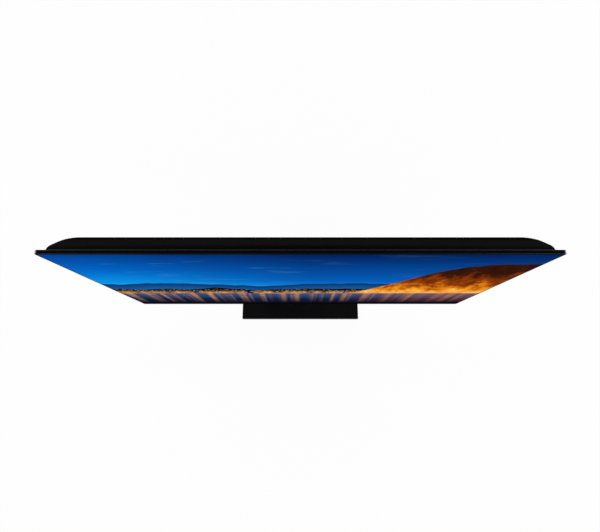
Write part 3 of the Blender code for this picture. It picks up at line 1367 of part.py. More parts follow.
def stop_slot():
    """Curved slot that the stop pin runs in, as long as the swivel's travel."""
    half = STOP_PIN_R + 2 * HOLE_GAP
    reach = SWIVEL_LIMIT + half / STOP_RADIUS
    turns = [math.pi / 2 - reach + 2 * reach * i / FINE_STEPS for i in range(FINE_STEPS + 1)]
    outline = [((STOP_RADIUS + half) * math.cos(t), (STOP_RADIUS + half) * math.sin(t)) for t in turns]
    outline += [((STOP_RADIUS - half) * math.cos(t), (STOP_RADIUS - half) * math.sin(t)) for t in turns[::-1]]
    return prism([(x, y + SWIVEL_Y) for x, y in outline], "Z", 0.0, BASE_H)


def base_outline(inset, radius):
    """The base's outline from above, moved in from its sides."""
    half_w = BASE_W / 2 - inset
    half_d = BASE_D / 2 - inset
    return rounded_outline(-half_w, half_w, -half_d, half_d, radius, BLUNT_STEPS)


def make_base():
    """Rectangular foot: moulded cover, steel ballast plate under it, closing plate and rubber feet."""
    wall = BASE_WALL
    bottom = UNDER_Z
    edge = BASE_EDGE_R
    bend = edge * (1 - math.cos(math.pi / 4))
    rows = [
        (wall, BASE_INSIDE, BASE_CORNER_R),
        (wall, bottom, BASE_CORNER_R),
        (0.0, bottom, BASE_CORNER_R),
        (0.0, BASE_H - edge, BASE_CORNER_R),
        (bend, BASE_H - bend, BASE_CORNER_R - bend),
        (edge, BASE_H, BASE_CORNER_R - edge),
    ]
    loops = []
    for inset, z, radius in rows:
        loops.append([on_axis("Z", x, y, z) for x, y in base_outline(inset, radius)])
    cover = add_part("base_cover", loft(loops), SATIN_BLACK, BASE_FRAME)
    hole = TURNTABLE_R + TURNTABLE_GAP
    axis = (0.0, SWIVEL_Y)
    rows = [(hole, BASE_INSIDE - OVERCUT / 4), (hole, BASE_H + OVERCUT)]
    cut(cover, turned(rows, "Z", WIDE_STEPS, centre=axis))

    outline = base_outline(wall + SEAT, BASE_CORNER_R)
    plate = prism(outline, "Z", BALLAST_Z, BALLAST_Z + BALLAST_T)
    ballast = add_part("ballast_plate", plate, DARK_STEEL, BASE_FRAME)
    bore = SHAFT_R + HOLE_GAP
    centre_hole = turned([(bore, 0.0), (bore, BASE_H)], "Z", HALF_ROUND_STEPS, centre=axis)
    cut(ballast, gather([centre_hole, stop_slot()]))
    add_part("closing_plate", prism(outline, "Z", UNDER_Z, UNDER_Z + UNDER_T), MATT_BLACK, BASE_FRAME)


def make_feet():
    """Rubber pads near the corners, stuck under the closing plate."""
    outline = rounded_outline(-FOOT_L / 2, FOOT_L / 2, -FOOT_W / 2, FOOT_W / 2, FOOT_R, BLUNT_STEPS)
    x = BASE_W / 2 - FOOT_INSET - FOOT_L / 2
    y = BASE_D / 2 - FOOT_INSET - FOOT_W / 2
    places = {"front_left": (-x, -y), "front_right": (x, -y), "rear_left": (-x, y), "rear_right": (x, y)}
    for name, place in places.items():
        pad = prism(outline, "Z", 0.0, FOOT_H)
        add_part(f"foot_{name}", pad, RUBBER, BASE_FRAME, (*place, 0.0))


make_front_bezel()
make_display_sheets()
make_middle_frame()
make_led_bar()
make_led_heat_sink()
make_back_pan()
make_main_board()
make_power_board()
make_timing_board()
make_source_boards()
make_ribbon_cable()
make_power_harness()
make_side_ports()
make_down_ports()
make_mains_inlet()
make_rear_cover()
make_tray("socket_tray", SOCKET_BAY, socket_holes())
make_tray("mains_tray", MAINS_BAY, [mains_hole()])
make_wall_mount_bushes()
make_speaker("left", -1)
make_speaker("right", 1)
make_remote_sensor()
make_network_module()
make_jog_control()
make_stand_bracket()
make_neck()
make_neck_screws()
make_swivel()
make_base()
make_feet()
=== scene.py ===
"""Looks of the flat-panel television: materials, small fittings, studio light, floor and camera."""

import json
import math

import bmesh
import bpy
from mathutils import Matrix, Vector

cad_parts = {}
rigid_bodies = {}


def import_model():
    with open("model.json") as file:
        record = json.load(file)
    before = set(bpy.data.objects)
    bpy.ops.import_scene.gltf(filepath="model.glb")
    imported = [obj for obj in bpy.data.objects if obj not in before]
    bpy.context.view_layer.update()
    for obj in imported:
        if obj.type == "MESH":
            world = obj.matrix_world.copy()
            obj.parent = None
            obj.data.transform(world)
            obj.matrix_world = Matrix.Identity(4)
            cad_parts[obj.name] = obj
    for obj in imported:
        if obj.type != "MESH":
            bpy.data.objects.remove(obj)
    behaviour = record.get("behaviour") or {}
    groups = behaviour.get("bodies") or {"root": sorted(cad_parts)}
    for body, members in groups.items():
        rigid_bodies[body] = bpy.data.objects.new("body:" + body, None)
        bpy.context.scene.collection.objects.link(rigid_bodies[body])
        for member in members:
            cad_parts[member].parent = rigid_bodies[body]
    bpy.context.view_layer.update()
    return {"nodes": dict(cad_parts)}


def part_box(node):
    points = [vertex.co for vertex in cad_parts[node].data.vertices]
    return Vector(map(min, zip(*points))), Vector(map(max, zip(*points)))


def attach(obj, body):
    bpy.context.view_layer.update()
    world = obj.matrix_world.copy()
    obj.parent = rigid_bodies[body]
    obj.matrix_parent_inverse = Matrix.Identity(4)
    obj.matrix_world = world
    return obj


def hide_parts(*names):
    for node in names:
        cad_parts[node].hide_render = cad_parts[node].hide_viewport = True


for leftover in list(bpy.data.objects):
    bpy.data.objects.remove(leftover)

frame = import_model()

# Lengths are in metres, and places are in the frame shared with the CAD.

# Camera, as recovered from the photograph
LENS_MM = 25.54
SENSOR_MM = 36.0
CAMERA_PLACE = (-0.0008, -0.2702, 1.3670)
CAMERA_TILT = math.radians(14.2488)
NEAR_CLIP = 0.01

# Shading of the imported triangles
CREASE = math.radians(32)
WELD = 0.00001

# Range that most of a noise texture lies in
NOISE_LOW = 0.2
NOISE_HIGH = 0.8

# Picture on the screen
PICTURE_W = 0.9550
PICTURE_LOW = 0.0889
PICTURE_H = 0.5372
CELL_SKIN = 0.0002

# Rear cover and the screw wells in it
SET_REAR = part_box("rear_cover")[1].y
FLAT_FROM = SET_REAR - 0.0010
FLAT_WHOLE = SET_REAR - 0.0004
FLANGE_REAR = -0.0530
FLANGE_BLEND = 0.0003
WELL_FLOOR = -0.0490
WELL_TOP = 0.5616
WELL_LEVELS = (0.3266, 0.4960)
WELL_LOW = 0.1368
WELL_TOP_X = 0.300
WELL_SIDE_X = 0.410
WELL_NECK_X = 0.104
WELL_PLACES = [(x, WELL_TOP) for x in (-WELL_TOP_X, 0.0, WELL_TOP_X)]
WELL_PLACES += [(x, z) for x in (-WELL_SIDE_X, WELL_SIDE_X) for z in WELL_LEVELS]
WELL_PLACES += [(x, WELL_LOW) for x in (-WELL_SIDE_X, -WELL_NECK_X, WELL_NECK_X, WELL_SIDE_X)]

# Details that one material picks out on a node
BOARD_THICK = 0.0016
SMALL_BOARD_THICK = 0.0010
CHIP_FROM = 0.0003
TALL_FROM = 0.0085
LED_WINDOW = 0.0009
PIN_OFFSET = 0.0043
PIN_R = 0.00135
DOME_OFFSET = 0.006
DOME_CORE_R = 0.0010
DOME_EDGE_R = 0.0024


def srgb(red, green, blue):
    """A colour written as 0 to 255 on screen, as the linear values that shaders take."""
    linear = []
    for value in (red, green, blue):
        share = value / 255
        linear.append(share / 12.92 if share <= 0.04045 else ((share + 0.055) / 1.055) ** 2.4)
    return tuple(linear)


def middle_of(node):
    """The middle of a node's box at rest."""
    low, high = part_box(node)
    return (low + high) / 2


# Node trees in short lines


class Graph:
    """One material's node tree. Values may be numbers, colours or other nodes' outputs."""

    def __init__(self, name):
        self.material = bpy.data.materials.new(name)
        self.material.use_nodes = True
        self.tree = self.material.node_tree
        self.tree.nodes.clear()
        self.place = self.add("ShaderNodeTexCoord").outputs["Object"]

    def add(self, kind, **settings):
        node = self.tree.nodes.new(kind)
        for key, value in settings.items():
            setattr(node, key, value)
        return node

    def feed(self, socket, value):
        if isinstance(value, bpy.types.NodeSocket):
            self.tree.links.new(value, socket)
        elif socket.type == "RGBA":
            socket.default_value = (*value[:3], 1.0)
        else:
            socket.default_value = value

    def math(self, operation, *values):
        node = self.add("ShaderNodeMath", operation=operation)
        for socket, value in zip(node.inputs, values):
            self.feed(socket, value)
        return node.outputs[0]

    def plus(self, first, second):
        return self.math("ADD", first, second)

    def minus(self, first, second):
        return self.math("SUBTRACT", first, second)

    def times(self, first, second):
        return self.math("MULTIPLY", first, second)

    def axes(self):
        node = self.add("ShaderNodeSeparateXYZ")
        self.feed(node.inputs[0], self.place)
        return node.outputs[0], node.outputs[1], node.outputs[2]

    def vector(self, x, y, z):
        node = self.add("ShaderNodeCombineXYZ")
        for socket, value in zip(node.inputs, (x, y, z)):
            self.feed(socket, value)
        return node.outputs[0]

    def length(self, x, y):
        """Distance from zero across two coordinates."""
        node = self.add("ShaderNodeVectorMath", operation="LENGTH")
        self.feed(node.inputs[0], self.vector(x, y, 0.0))
        return node.outputs["Value"]

    def stretch(self, factors):
        node = self.add("ShaderNodeVectorMath", operation="MULTIPLY")
        self.feed(node.inputs[0], self.place)
        self.feed(node.inputs[1], factors)
        return node.outputs[0]

    def noise(self, scale, detail=2.0, vector=None, roughness=0.5):
        node = self.add("ShaderNodeTexNoise")
        self.feed(node.inputs["Vector"], vector or self.place)
        self.feed(node.inputs["Scale"], scale)
        self.feed(node.inputs["Detail"], detail)
        self.feed(node.inputs["Roughness"], roughness)
        return node.outputs["Fac"]

    def cells(self, scale, vector=None, output="Distance"):
        node = self.add("ShaderNodeTexVoronoi")
        self.feed(node.inputs["Vector"], vector or self.place)
        self.feed(node.inputs["Scale"], scale)
        return node.outputs[output]

    def remap(self, value, low, high, to_low=0.0, to_high=1.0, smooth=False):
        node = self.add("ShaderNodeMapRange", interpolation_type="SMOOTHSTEP" if smooth else "LINEAR")
        for socket, given in zip(node.inputs, (value, low, high, to_low, to_high)):
            self.feed(socket, given)
        return node.outputs[0]

    def spread(self, noise, to_low, to_high):
        """A noise texture spread over a range of values."""
        return self.remap(noise, NOISE_LOW, NOISE_HIGH, to_low, to_high)

    def mix(self, share, first, second):
        node = self.add("ShaderNodeMix", data_type="RGBA")
        for index, value in ((0, share), (6, first), (7, second)):
            self.feed(node.inputs[index], value)
        return node.outputs[2]

    def ramp(self, value, stops):
        node = self.add("ShaderNodeValToRGB")
        self.feed(node.inputs[0], value)
        points = node.color_ramp.elements
        while len(points) < len(stops):
            points.new(0.5)
        for point, (place, colour) in zip(points, stops):
            point.position = place
            point.color = (*colour, 1.0)
        return node.outputs[0]

    def bump(self, height, distance):
        node = self.add("ShaderNodeBump")
        self.feed(node.inputs["Height"], height)
        self.feed(node.inputs["Distance"], distance)
        return node.outputs["Normal"]

    def principled(self, **values):
        node = self.add("ShaderNodeBsdfPrincipled")
        for key, value in values.items():
            self.feed(node.inputs[key.replace("_", " ").title().replace("Ior", "IOR")], value)
        return node.outputs[0]

    def blend(self, share, first, second):
        """One shader passing into another."""
        node = self.add("ShaderNodeMixShader")
        for socket, value in zip(node.inputs, (share, first, second)):
            self.feed(socket, value)
        return node.outputs[0]

    def anti_glare(self, polished, matt):
        """Glossy where it is looked at squarely, matt at flat angles, as on an anti-glare film."""
        weight = self.add("ShaderNodeLayerWeight")
        weight.inputs["Blend"].default_value = 0.5
        flat = self.remap(weight.outputs["Facing"], 0.45, 0.72, smooth=True)
        return self.blend(flat, polished, matt)

    def finish(self, shader):
        end = self.add("ShaderNodeOutputMaterial")
        self.tree.links.new(shader, end.inputs["Surface"])
        return self.material


# Materials


def moulded(name, colour, roughness, specular, grain, depth):
    """Moulded plastic: a grain of its own size, patchy gloss and a slightly uneven tone."""
    swing = 0.05
    g = Graph(name)
    patch = g.noise(14.0, 3.0)
    fine = g.noise(1.0 / grain, 2.0)
    tone = g.mix(patch, [0.82 * c for c in colour], [1.18 * c for c in colour])
    gloss = g.remap(g.plus(patch, g.times(fine, 0.5)), 0.4, 1.1, roughness - swing, roughness + swing)
    shader = g.principled(base_color=tone, roughness=gloss, specular_ior_level=specular,
                          normal=g.bump(fine, depth))
    return g.finish(shader)


def brushed(name, colour, roughness, factors):
    """Metal with a drawn or rolled grain that runs along its least stretched axis."""
    swing = 0.08
    g = Graph(name)
    lines = g.noise(1.0, 3.0, g.stretch(factors))
    stain = g.noise(30.0, 3.0)
    tone = g.mix(stain, [0.86 * c for c in colour], [min(1.0, 1.08 * c) for c in colour])
    gloss = g.remap(lines, 0.25, 0.75, roughness - swing, roughness + swing)
    shader = g.principled(base_color=tone, roughness=gloss, metallic=1.0, normal=g.bump(lines, 0.00002))
    return g.finish(shader)


def zinc():
    """Galvanised sheet: flat crystals of slightly different tone."""
    g = Graph("zinc_plated_steel")
    crystal = g.cells(140.0, output="Color")
    fine = g.noise(900.0, 2.0)
    tone = g.mix(crystal, (0.44, 0.45, 0.47), (0.62, 0.63, 0.66))
    shader = g.principled(base_color=tone, roughness=g.spread(fine, 0.30, 0.46), metallic=1.0,
                          normal=g.bump(fine, 0.00002))
    return g.finish(shader)


def gloss_black(name, clean, wiped, specular, film):
    """Polished black moulding with faint wiping marks; a film, if it has one, kills glare at flat angles."""
    g = Graph(name)
    wipe = g.noise(1.0, 4.0, g.stretch((18.0, 18.0, 60.0)))
    dust = g.cells(420.0)
    colour = g.mix(wipe, clean, wiped)
    gloss = g.remap(wipe, 0.3, 0.7, 0.10, 0.20)
    normal = g.bump(g.times(dust, wipe), 0.000004)
    polished = g.principled(base_color=colour, roughness=gloss, specular_ior_level=specular, normal=normal)
    if not film:
        return g.finish(polished)
    matt = g.principled(base_color=colour, roughness=0.6, specular_ior_level=0.0, normal=normal)
    return g.finish(g.anti_glare(polished, matt))


def rear_shell(name, lining):
    """Rear moulding: satin flange, spark-eroded matt flanks and a grained flat back.

    A lining is grained all over.
    """
    g = Graph(name)
    _, y, _ = g.axes()
    patch = g.noise(9.0, 3.0)
    fine = g.noise(1100.0, 2.0)
    worn = g.plus(g.times(patch, 0.10), g.times(fine, 0.06))
    panel_colour = g.mix(patch, (0.0052, 0.0052, 0.0058), (0.0078, 0.0078, 0.0086))
    pebble = g.remap(g.cells(760.0), 0.05, 0.55, 1.0, 0.0, smooth=True)
    height = g.plus(pebble, g.times(fine, 0.30))
    panel = g.principled(base_color=panel_colour, roughness=g.plus(worn, 0.36), specular_ior_level=0.30,
                         normal=g.bump(height, 0.00012))
    if lining:
        return g.finish(panel)
    colour = g.mix(patch, (0.0024, 0.0024, 0.0027), (0.0032, 0.0032, 0.0036))
    eroded = g.bump(fine, 0.00010)
    matt = g.principled(base_color=colour, roughness=0.70, specular_ior_level=0.0, normal=eroded)
    sheen = g.principled(base_color=colour, roughness=g.spread(fine, 0.58, 0.70), specular_ior_level=0.02,
                         normal=eroded)
    flange = g.principled(base_color=colour, roughness=g.spread(fine, 0.30, 0.40), specular_ior_level=0.24)
    behind_flange = g.remap(y, FLANGE_REAR, FLANGE_REAR + FLANGE_BLEND)
    sides = g.blend(behind_flange, flange, g.anti_glare(sheen, matt))
    flat = g.remap(y, FLAT_FROM, FLAT_WHOLE, smooth=True)
    return g.finish(g.blend(flat, sides, panel))


def screen_picture(g):
    """A made-up view on the screen: a lake at dusk, hills, a lit shore and a floodlit cliff."""
    x, _, z = g.axes()
    u = g.remap(x, -PICTURE_W / 2, PICTURE_W / 2)
    v = g.remap(z, PICTURE_LOW, PICTURE_LOW + PICTURE_H)

    def wave(scale, seed, detail=3.0):
        return g.noise(scale, detail, g.vector(u, seed, 0.0))

    def grid(across, up, seed):
        return g.vector(g.times(u, across), g.times(v, up), seed)

    def below(level, softness=0.006):
        return g.remap(g.minus(level, v), -softness, softness, smooth=True)

    height = g.remap(v, 0.40, 1.0)
    sky = g.ramp(height, [(0.0, srgb(60, 190, 245)), (0.22, srgb(8, 150, 232)),
                          (0.60, srgb(0, 104, 200)), (1.0, srgb(0, 62, 146))])
    night = g.ramp(height, [(0.0, srgb(20, 140, 222)), (0.3, srgb(2, 92, 184)), (1.0, srgb(0, 28, 88))])
    dusk = g.remap(g.plus(u, g.times(wave(2.0, 4.0), 0.2)), 0.12, 0.66, smooth=True)
    image = g.mix(dusk, sky, night)
    cloud = g.noise(1.0, 5.0, grid(6.0, 17.0, 3.0), 0.6)
    veil = g.times(g.remap(cloud, 0.54, 0.82, smooth=True), g.remap(u, 0.0, 0.7, 0.34, 0.06))
    image = g.mix(veil, image, srgb(120, 196, 244))

    far = g.plus(0.36, g.times(wave(4.0, 1.5, 5.0), 0.30))
    mist = g.remap(g.minus(far, v), 0.0, 0.16)
    image = g.mix(below(far), image, g.mix(mist, srgb(8, 48, 104), srgb(20, 104, 178)))
    near = g.plus(0.29, g.times(wave(6.0, 8.5, 5.0), 0.22))
    slope = below(near)
    image = g.mix(slope, image, srgb(9, 12, 22))

    rise = g.plus(g.remap(u, 0.60, 0.90, 0.20, 0.78, smooth=True), g.times(wave(9.0, 2.5, 5.0), 0.16))
    rock = g.noise(1.0, 6.0, grid(30.0, 9.0, 1.0), 0.65)
    lit = g.plus(g.remap(v, 0.26, 0.95, 0.0, 0.85), g.remap(rock, 0.35, 0.7, 0.16, -0.16))
    cliff = g.ramp(lit, [(0.0, srgb(255, 214, 96)), (0.14, srgb(246, 148, 20)), (0.34, srgb(150, 62, 6)),
                         (0.56, srgb(58, 22, 6)), (1.0, srgb(20, 7, 6))])
    image = g.mix(below(rise, 0.012), image, cliff)

    shore = g.math("ABSOLUTE", g.minus(v, 0.30))
    along_shore = g.remap(shore, 0.0, 0.075, 1.0, 0.0, smooth=True)
    glow = g.times(along_shore, g.remap(wave(26.0, 5.5), 0.35, 0.62))
    image = g.mix(g.times(glow, 0.9), image, srgb(236, 158, 66))
    street = grid(110.0, 62.0, 0.0)
    lamp = g.remap(g.cells(1.0, street), 0.10, 0.34, 1.0, 0.0, smooth=True)
    town = g.times(g.remap(shore, 0.03, 0.13, 1.0, 0.0, smooth=True), g.times(lamp, slope))
    lamp_colour = g.mix(g.cells(1.0, street, "Color"), srgb(255, 186, 96), srgb(255, 240, 206))
    image = g.mix(town, image, lamp_colour)

    depth = g.remap(v, 0.0, 0.29)
    lake = g.ramp(depth, [(0.0, srgb(6, 9, 18)), (0.45, srgb(16, 30, 62)), (1.0, srgb(52, 84, 136))])
    ripple = g.noise(1.0, 4.0, grid(22.0, 110.0, 2.0), 0.6)
    streak = g.remap(wave(34.0, 5.5), 0.46, 0.64, smooth=True)
    fade = g.remap(v, 0.02, 0.28)
    shine = g.times(g.times(streak, fade), g.remap(ripple, 0.35, 0.62))
    lake = g.mix(g.times(shine, 0.95), lake, srgb(244, 168, 78))
    warm = g.times(g.remap(u, 0.58, 0.9, smooth=True), g.remap(ripple, 0.3, 0.7))
    lake = g.mix(g.times(warm, g.times(fade, 0.75)), lake, srgb(170, 88, 26))
    return g.mix(g.remap(v, 0.284, 0.296, 1.0, 0.0, smooth=True), image, lake)


def display_glass():
    """Liquid crystal cell: the lit picture in front, dark glass at its edges and back."""
    g = Graph("display_glass")
    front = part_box("lcd_cell")[0].y + CELL_SKIN
    _, y, _ = g.axes()
    face = g.math("LESS_THAN", y, front)
    picture = g.mix(face, (0.0, 0.0, 0.0), screen_picture(g))
    haze = g.noise(2600.0, 1.0)
    film = g.bump(haze, 0.000006)
    shared = {"base_color": (0.0012, 0.0012, 0.0014), "emission_color": picture, "emission_strength": 1.0}
    glossy = g.principled(roughness=g.spread(haze, 0.28, 0.36), specular_ior_level=0.35, normal=film, **shared)
    matt = g.principled(roughness=0.6, specular_ior_level=0.0, **shared)
    return g.finish(g.anti_glare(glossy, matt))


def light_guide():
    """Clear acrylic sheet with the printed dots that send its light forward."""
    g = Graph("clear_acrylic")
    dot = g.remap(g.cells(420.0), 0.18, 0.24, 1.0, 0.0)
    cloud = g.noise(40.0, 2.0)
    tone = g.mix(dot, g.mix(cloud, (0.70, 0.78, 0.80), (0.80, 0.86, 0.88)), (0.92, 0.93, 0.93))
    shader = g.principled(base_color=tone, roughness=g.remap(dot, 0.0, 1.0, 0.06, 0.45))
    return g.finish(shader)


def led_strip():
    """White lamp board with a yellow phosphor window on each LED."""
    g = Graph("led_strip")
    _, _, z = g.axes()
    lens = g.math("GREATER_THAN", z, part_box("led_bar")[1].z - LED_WINDOW)
    speck = g.noise(600.0, 2.0)
    tone = g.mix(lens, g.mix(speck, (0.70, 0.70, 0.68), (0.82, 0.82, 0.80)), (0.86, 0.62, 0.10))
    shader = g.principled(base_color=tone, roughness=g.spread(speck, 0.35, 0.55))
    return g.finish(shader)


def circuit_board(name, rear):
    """Green solder mask with copper runs; what stands on the board is black, tall parts are metal."""
    g = Graph(name)
    _, y, _ = g.axes()
    brick = g.add("ShaderNodeTexBrick", offset=0.37, squash=1.6)
    g.feed(brick.inputs["Vector"], g.stretch((1.0, 0.0, 1.0)))
    for key, value in (("Scale", 95.0), ("Mortar Size", 0.07), ("Mortar Smooth", 0.2)):
        g.feed(brick.inputs[key], value)
    spot = g.remap(g.cells(260.0), 0.16, 0.20, 1.0, 0.0)
    mask = g.mix(brick.outputs["Fac"], (0.010, 0.075, 0.030), (0.024, 0.135, 0.055))
    mask = g.mix(spot, mask, (0.62, 0.58, 0.50))
    part = g.math("GREATER_THAN", y, rear + CHIP_FROM)
    tall = g.math("GREATER_THAN", y, rear + TALL_FROM)
    speck = g.noise(700.0, 2.0)
    tone = g.mix(part, mask, g.mix(speck, (0.010, 0.010, 0.011), (0.020, 0.020, 0.021)))
    tone = g.mix(tall, tone, (0.70, 0.71, 0.72))
    shader = g.principled(base_color=tone, metallic=tall, roughness=g.spread(speck, 0.34, 0.5),
                          normal=g.bump(brick.outputs["Fac"], 0.00003))
    return g.finish(shader)


def mains_inlet():
    """Black moulded inlet whose two pins are plated metal."""
    g = Graph("mains_inlet")
    _, y, z = g.axes()
    middle = middle_of("mains_inlet")
    aside = g.math("ABSOLUTE", g.minus(z, middle.z))
    reach = g.length(g.minus(y, middle.y), g.minus(aside, PIN_OFFSET))
    pin = g.math("LESS_THAN", reach, PIN_R)
    grain = g.noise(2400.0, 2.0)
    tone = g.mix(pin, g.mix(grain, (0.006, 0.006, 0.007), (0.011, 0.011, 0.012)), (0.66, 0.64, 0.60))
    shader = g.principled(base_color=tone, metallic=pin, roughness=g.spread(grain, 0.26, 0.42),
                          normal=g.bump(grain, 0.00002))
    return g.finish(shader)


def smoked_lens():
    """Dark red window of the remote sensor, with the receiver's pale dome just showing."""
    g = Graph("smoked_lens")
    x, _, z = g.axes()
    middle = middle_of("sensor_lens")
    reach = g.length(g.minus(x, middle.x - DOME_OFFSET), g.minus(z, middle.z))
    dome = g.remap(reach, DOME_CORE_R, DOME_EDGE_R, 1.0, 0.0, smooth=True)
    cloud = g.noise(300.0, 2.0)
    tone = g.mix(dome, g.mix(cloud, (0.012, 0.002, 0.002), (0.022, 0.003, 0.003)), (0.060, 0.012, 0.010))
    polished = g.principled(base_color=tone, roughness=g.spread(cloud, 0.06, 0.14))
    matt = g.principled(base_color=tone, roughness=0.6, specular_ior_level=0.0)
    return g.finish(g.anti_glare(polished, matt))


def jacket():
    """Cable sheath: fine lengthwise conductors under white film."""
    g = Graph("cable_jacket")
    strand = g.noise(1.0, 2.0, g.stretch((1100.0, 200.0, 30.0)))
    tone = g.mix(strand, (0.56, 0.56, 0.54), (0.76, 0.76, 0.74))
    shader = g.principled(base_color=tone, roughness=g.spread(strand, 0.42, 0.62),
                          normal=g.bump(strand, 0.00006))
    return g.finish(shader)


GLOSS = gloss_black("gloss_black_plastic", (0.0012, 0.0012, 0.0015), (0.0022, 0.0022, 0.0026), 0.50, False)
BEZEL = gloss_black("bezel_black_plastic", (0.0024, 0.0024, 0.0026), (0.0034, 0.0034, 0.0036), 0.20, True)
SHELL = rear_shell("textured_black_plastic", False)
LINING = rear_shell("lining_black_plastic", True)
TEXTURED = moulded("closing_black_plastic", (0.0040, 0.0040, 0.0045), 0.52, 0.22, 0.0009, 0.00010)
SATIN = moulded("satin_black_plastic", (0.0034, 0.0034, 0.0038), 0.36, 0.25, 0.0005, 0.00002)
FILM = moulded("diffusing_film", (0.78, 0.80, 0.81), 0.60, 0.4, 0.0004, 0.00001)
WHITE = moulded("white_plastic", (0.70, 0.70, 0.68), 0.48, 0.4, 0.0008, 0.00003)
ACETAL = moulded("acetal", (0.76, 0.76, 0.73), 0.38, 0.4, 0.0006, 0.00002)
RUBBER = moulded("black_rubber", (0.011, 0.011, 0.011), 0.82, 0.2, 0.0011, 0.00014)
ZINC = zinc()
DARK_STEEL = moulded("blackened_steel", (0.0042, 0.0042, 0.0046), 0.40, 0.25, 0.0008, 0.00004)
BRIGHT = brushed("bright_steel", (0.60, 0.60, 0.61), 0.26, (200.0, 900.0, 900.0))
ALUMINIUM = brushed("aluminium", (0.72, 0.73, 0.74), 0.34, (20.0, 800.0, 800.0))
GOLD = brushed("gold_contacts", (0.83, 0.60, 0.24), 0.24, (900.0, 300.0, 300.0))
JACKET = jacket()
ACRYLIC = light_guide()
LED_STRIP = led_strip()
PANEL = display_glass()
LENS = smoked_lens()
INLET = mains_inlet()
BOARD = circuit_board("circuit_board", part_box("main_board")[0].y + BOARD_THICK)
EDGE_BOARD = circuit_board("edge_circuit_board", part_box("source_board_left")[1].y)
SMALL_BOARD = circuit_board("small_circuit_board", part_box("radio_module")[0].y + SMALL_BOARD_THICK)
SENSOR_BOARD = circuit_board("sensor_circuit_board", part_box("sensor_board")[1].y)

DRESS = {
    BEZEL: ["front_bezel"],
    GLOSS: ["neck_sleeve"],
    SHELL: ["rear_cover"],
    LINING: ["socket_tray", "mains_tray"],
    TEXTURED: ["closing_plate"],
    SATIN: ["network_socket", "speaker_box_left", "speaker_box_right", "jog_housing", "jog_stick",
            "base_cover"],
    PANEL: ["lcd_cell"],
    FILM: ["prism_film", "reflector_sheet"],
    ACRYLIC: ["light_guide"],
    WHITE: ["middle_frame", "jog_plunger"],
    LED_STRIP: ["led_bar"],
    ALUMINIUM: ["led_heat_sink"],
    ZINC: ["back_pan", "stand_bracket"],
    BOARD: ["main_board", "power_board", "timing_board"],
    EDGE_BOARD: ["source_board_left", "source_board_right"],
    SMALL_BOARD: ["radio_module"],
    SENSOR_BOARD: ["sensor_board"],
    JACKET: ["ribbon_cable", "power_harness"],
    BRIGHT: ["hdmi_socket_1", "hdmi_socket_2", "usb_socket", "aerial_socket", "wall_mount_bush_1",
             "wall_mount_bush_2", "wall_mount_bush_3", "wall_mount_bush_4", "neck_screw_1", "neck_screw_2",
             "neck_screw_3", "neck_screw_4", "swivel_shaft", "disc_spring", "swivel_nut", "stop_pin"],
    INLET: ["mains_inlet"],
    LENS: ["sensor_lens"],
    ACETAL: ["jog_gimbal", "upper_washer", "lower_washer"],
    DARK_STEEL: ["neck_core", "ballast_plate"],
    RUBBER: ["speaker_driver_left", "speaker_driver_right", "foot_front_left", "foot_front_right",
             "foot_rear_left", "foot_rear_right"],
}


def smoothing():
    """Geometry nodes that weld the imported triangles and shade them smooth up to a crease."""
    group = bpy.data.node_groups.new("smooth_to_crease", "GeometryNodeTree")
    for way in ("INPUT", "OUTPUT"):
        group.interface.new_socket("Geometry", in_out=way, socket_type="NodeSocketGeometry")
    start = group.nodes.new("NodeGroupInput")
    end = group.nodes.new("NodeGroupOutput")
    weld = group.nodes.new("GeometryNodeMergeByDistance")
    weld.inputs["Distance"].default_value = WELD
    angle = group.nodes.new("GeometryNodeInputMeshEdgeAngle")
    crease = group.nodes.new("FunctionNodeCompare")
    crease.operation = "GREATER_THAN"
    crease.inputs["B"].default_value = CREASE
    normal = group.nodes.new("GeometryNodeSetMeshNormal")
    normal.mode = "SHARPNESS"
    normal.inputs["Remove Custom"].default_value = True
    link = group.links.new
    link(start.outputs[0], weld.inputs["Geometry"])
    link(weld.outputs[0], normal.inputs["Mesh"])
    link(angle.outputs["Unsigned Angle"], crease.inputs["A"])
    link(crease.outputs[0], normal.inputs["Edge Sharpness"])
    link(normal.outputs[0], end.inputs[0])
    return group


SMOOTHING = smoothing()
for material, names in DRESS.items():
    for name in names:
        shown = frame["nodes"][name]
        shown.material_slots[0].material = material
        shown.modifiers.new("smooth", "NODES").node_group = SMOOTHING
        weighted = shown.modifiers.new("weighted", "WEIGHTED_NORMAL")
        weighted.keep_sharp = True


# Small fittings: screws, bushes, contacts and the aerial connector

# Screws: the cross recess as (reach, half width), the heads as (radius, height), the dome as shares of them
CROSS_TOP = (0.0018, 0.00045)
CROSS_FLOOR = (0.0006, 0.00028)
CROSS_DEPTH = 0.62
COVER_HEAD = (0.0034, 0.0022)
NECK_HEAD = (0.0042, 0.0026)
PLATE_HEAD = (0.0030, 0.0009)
DOME = [(1.0, 0.0), (1.0, 0.40), (0.95, 0.62), (0.80, 0.84), (0.55, 0.96), (0.25, 1.0)]
SHANK_R = 0.0020
SHANK_TIP_R = 0.0013
SHANK_TAPER = 0.0008
LIFT = 0.00005
PLATE_SCREWS = [(-0.100, -0.080), (0.100, -0.080), (-0.100, 0.080), (0.100, 0.080),
                (-0.165, 0.0), (0.165, 0.0)]

# Threads
HELIX_STEPS = 24
RIDGE_HALF = 0.43
RIDGE_START = 0.15

# Wall-mount bushes
BORE_DEPTH = 0.0200
BORE_R = 0.0032
THREAD_R = 0.0026
BUSH_EDGE = 0.0005
BUSH_STEPS = 40
BUSH_PITCH = 0.0010
BUSH_ROOT = 0.0001
BUSH_THREAD_FROM = 0.0010
BUSH_BARE = 0.0018

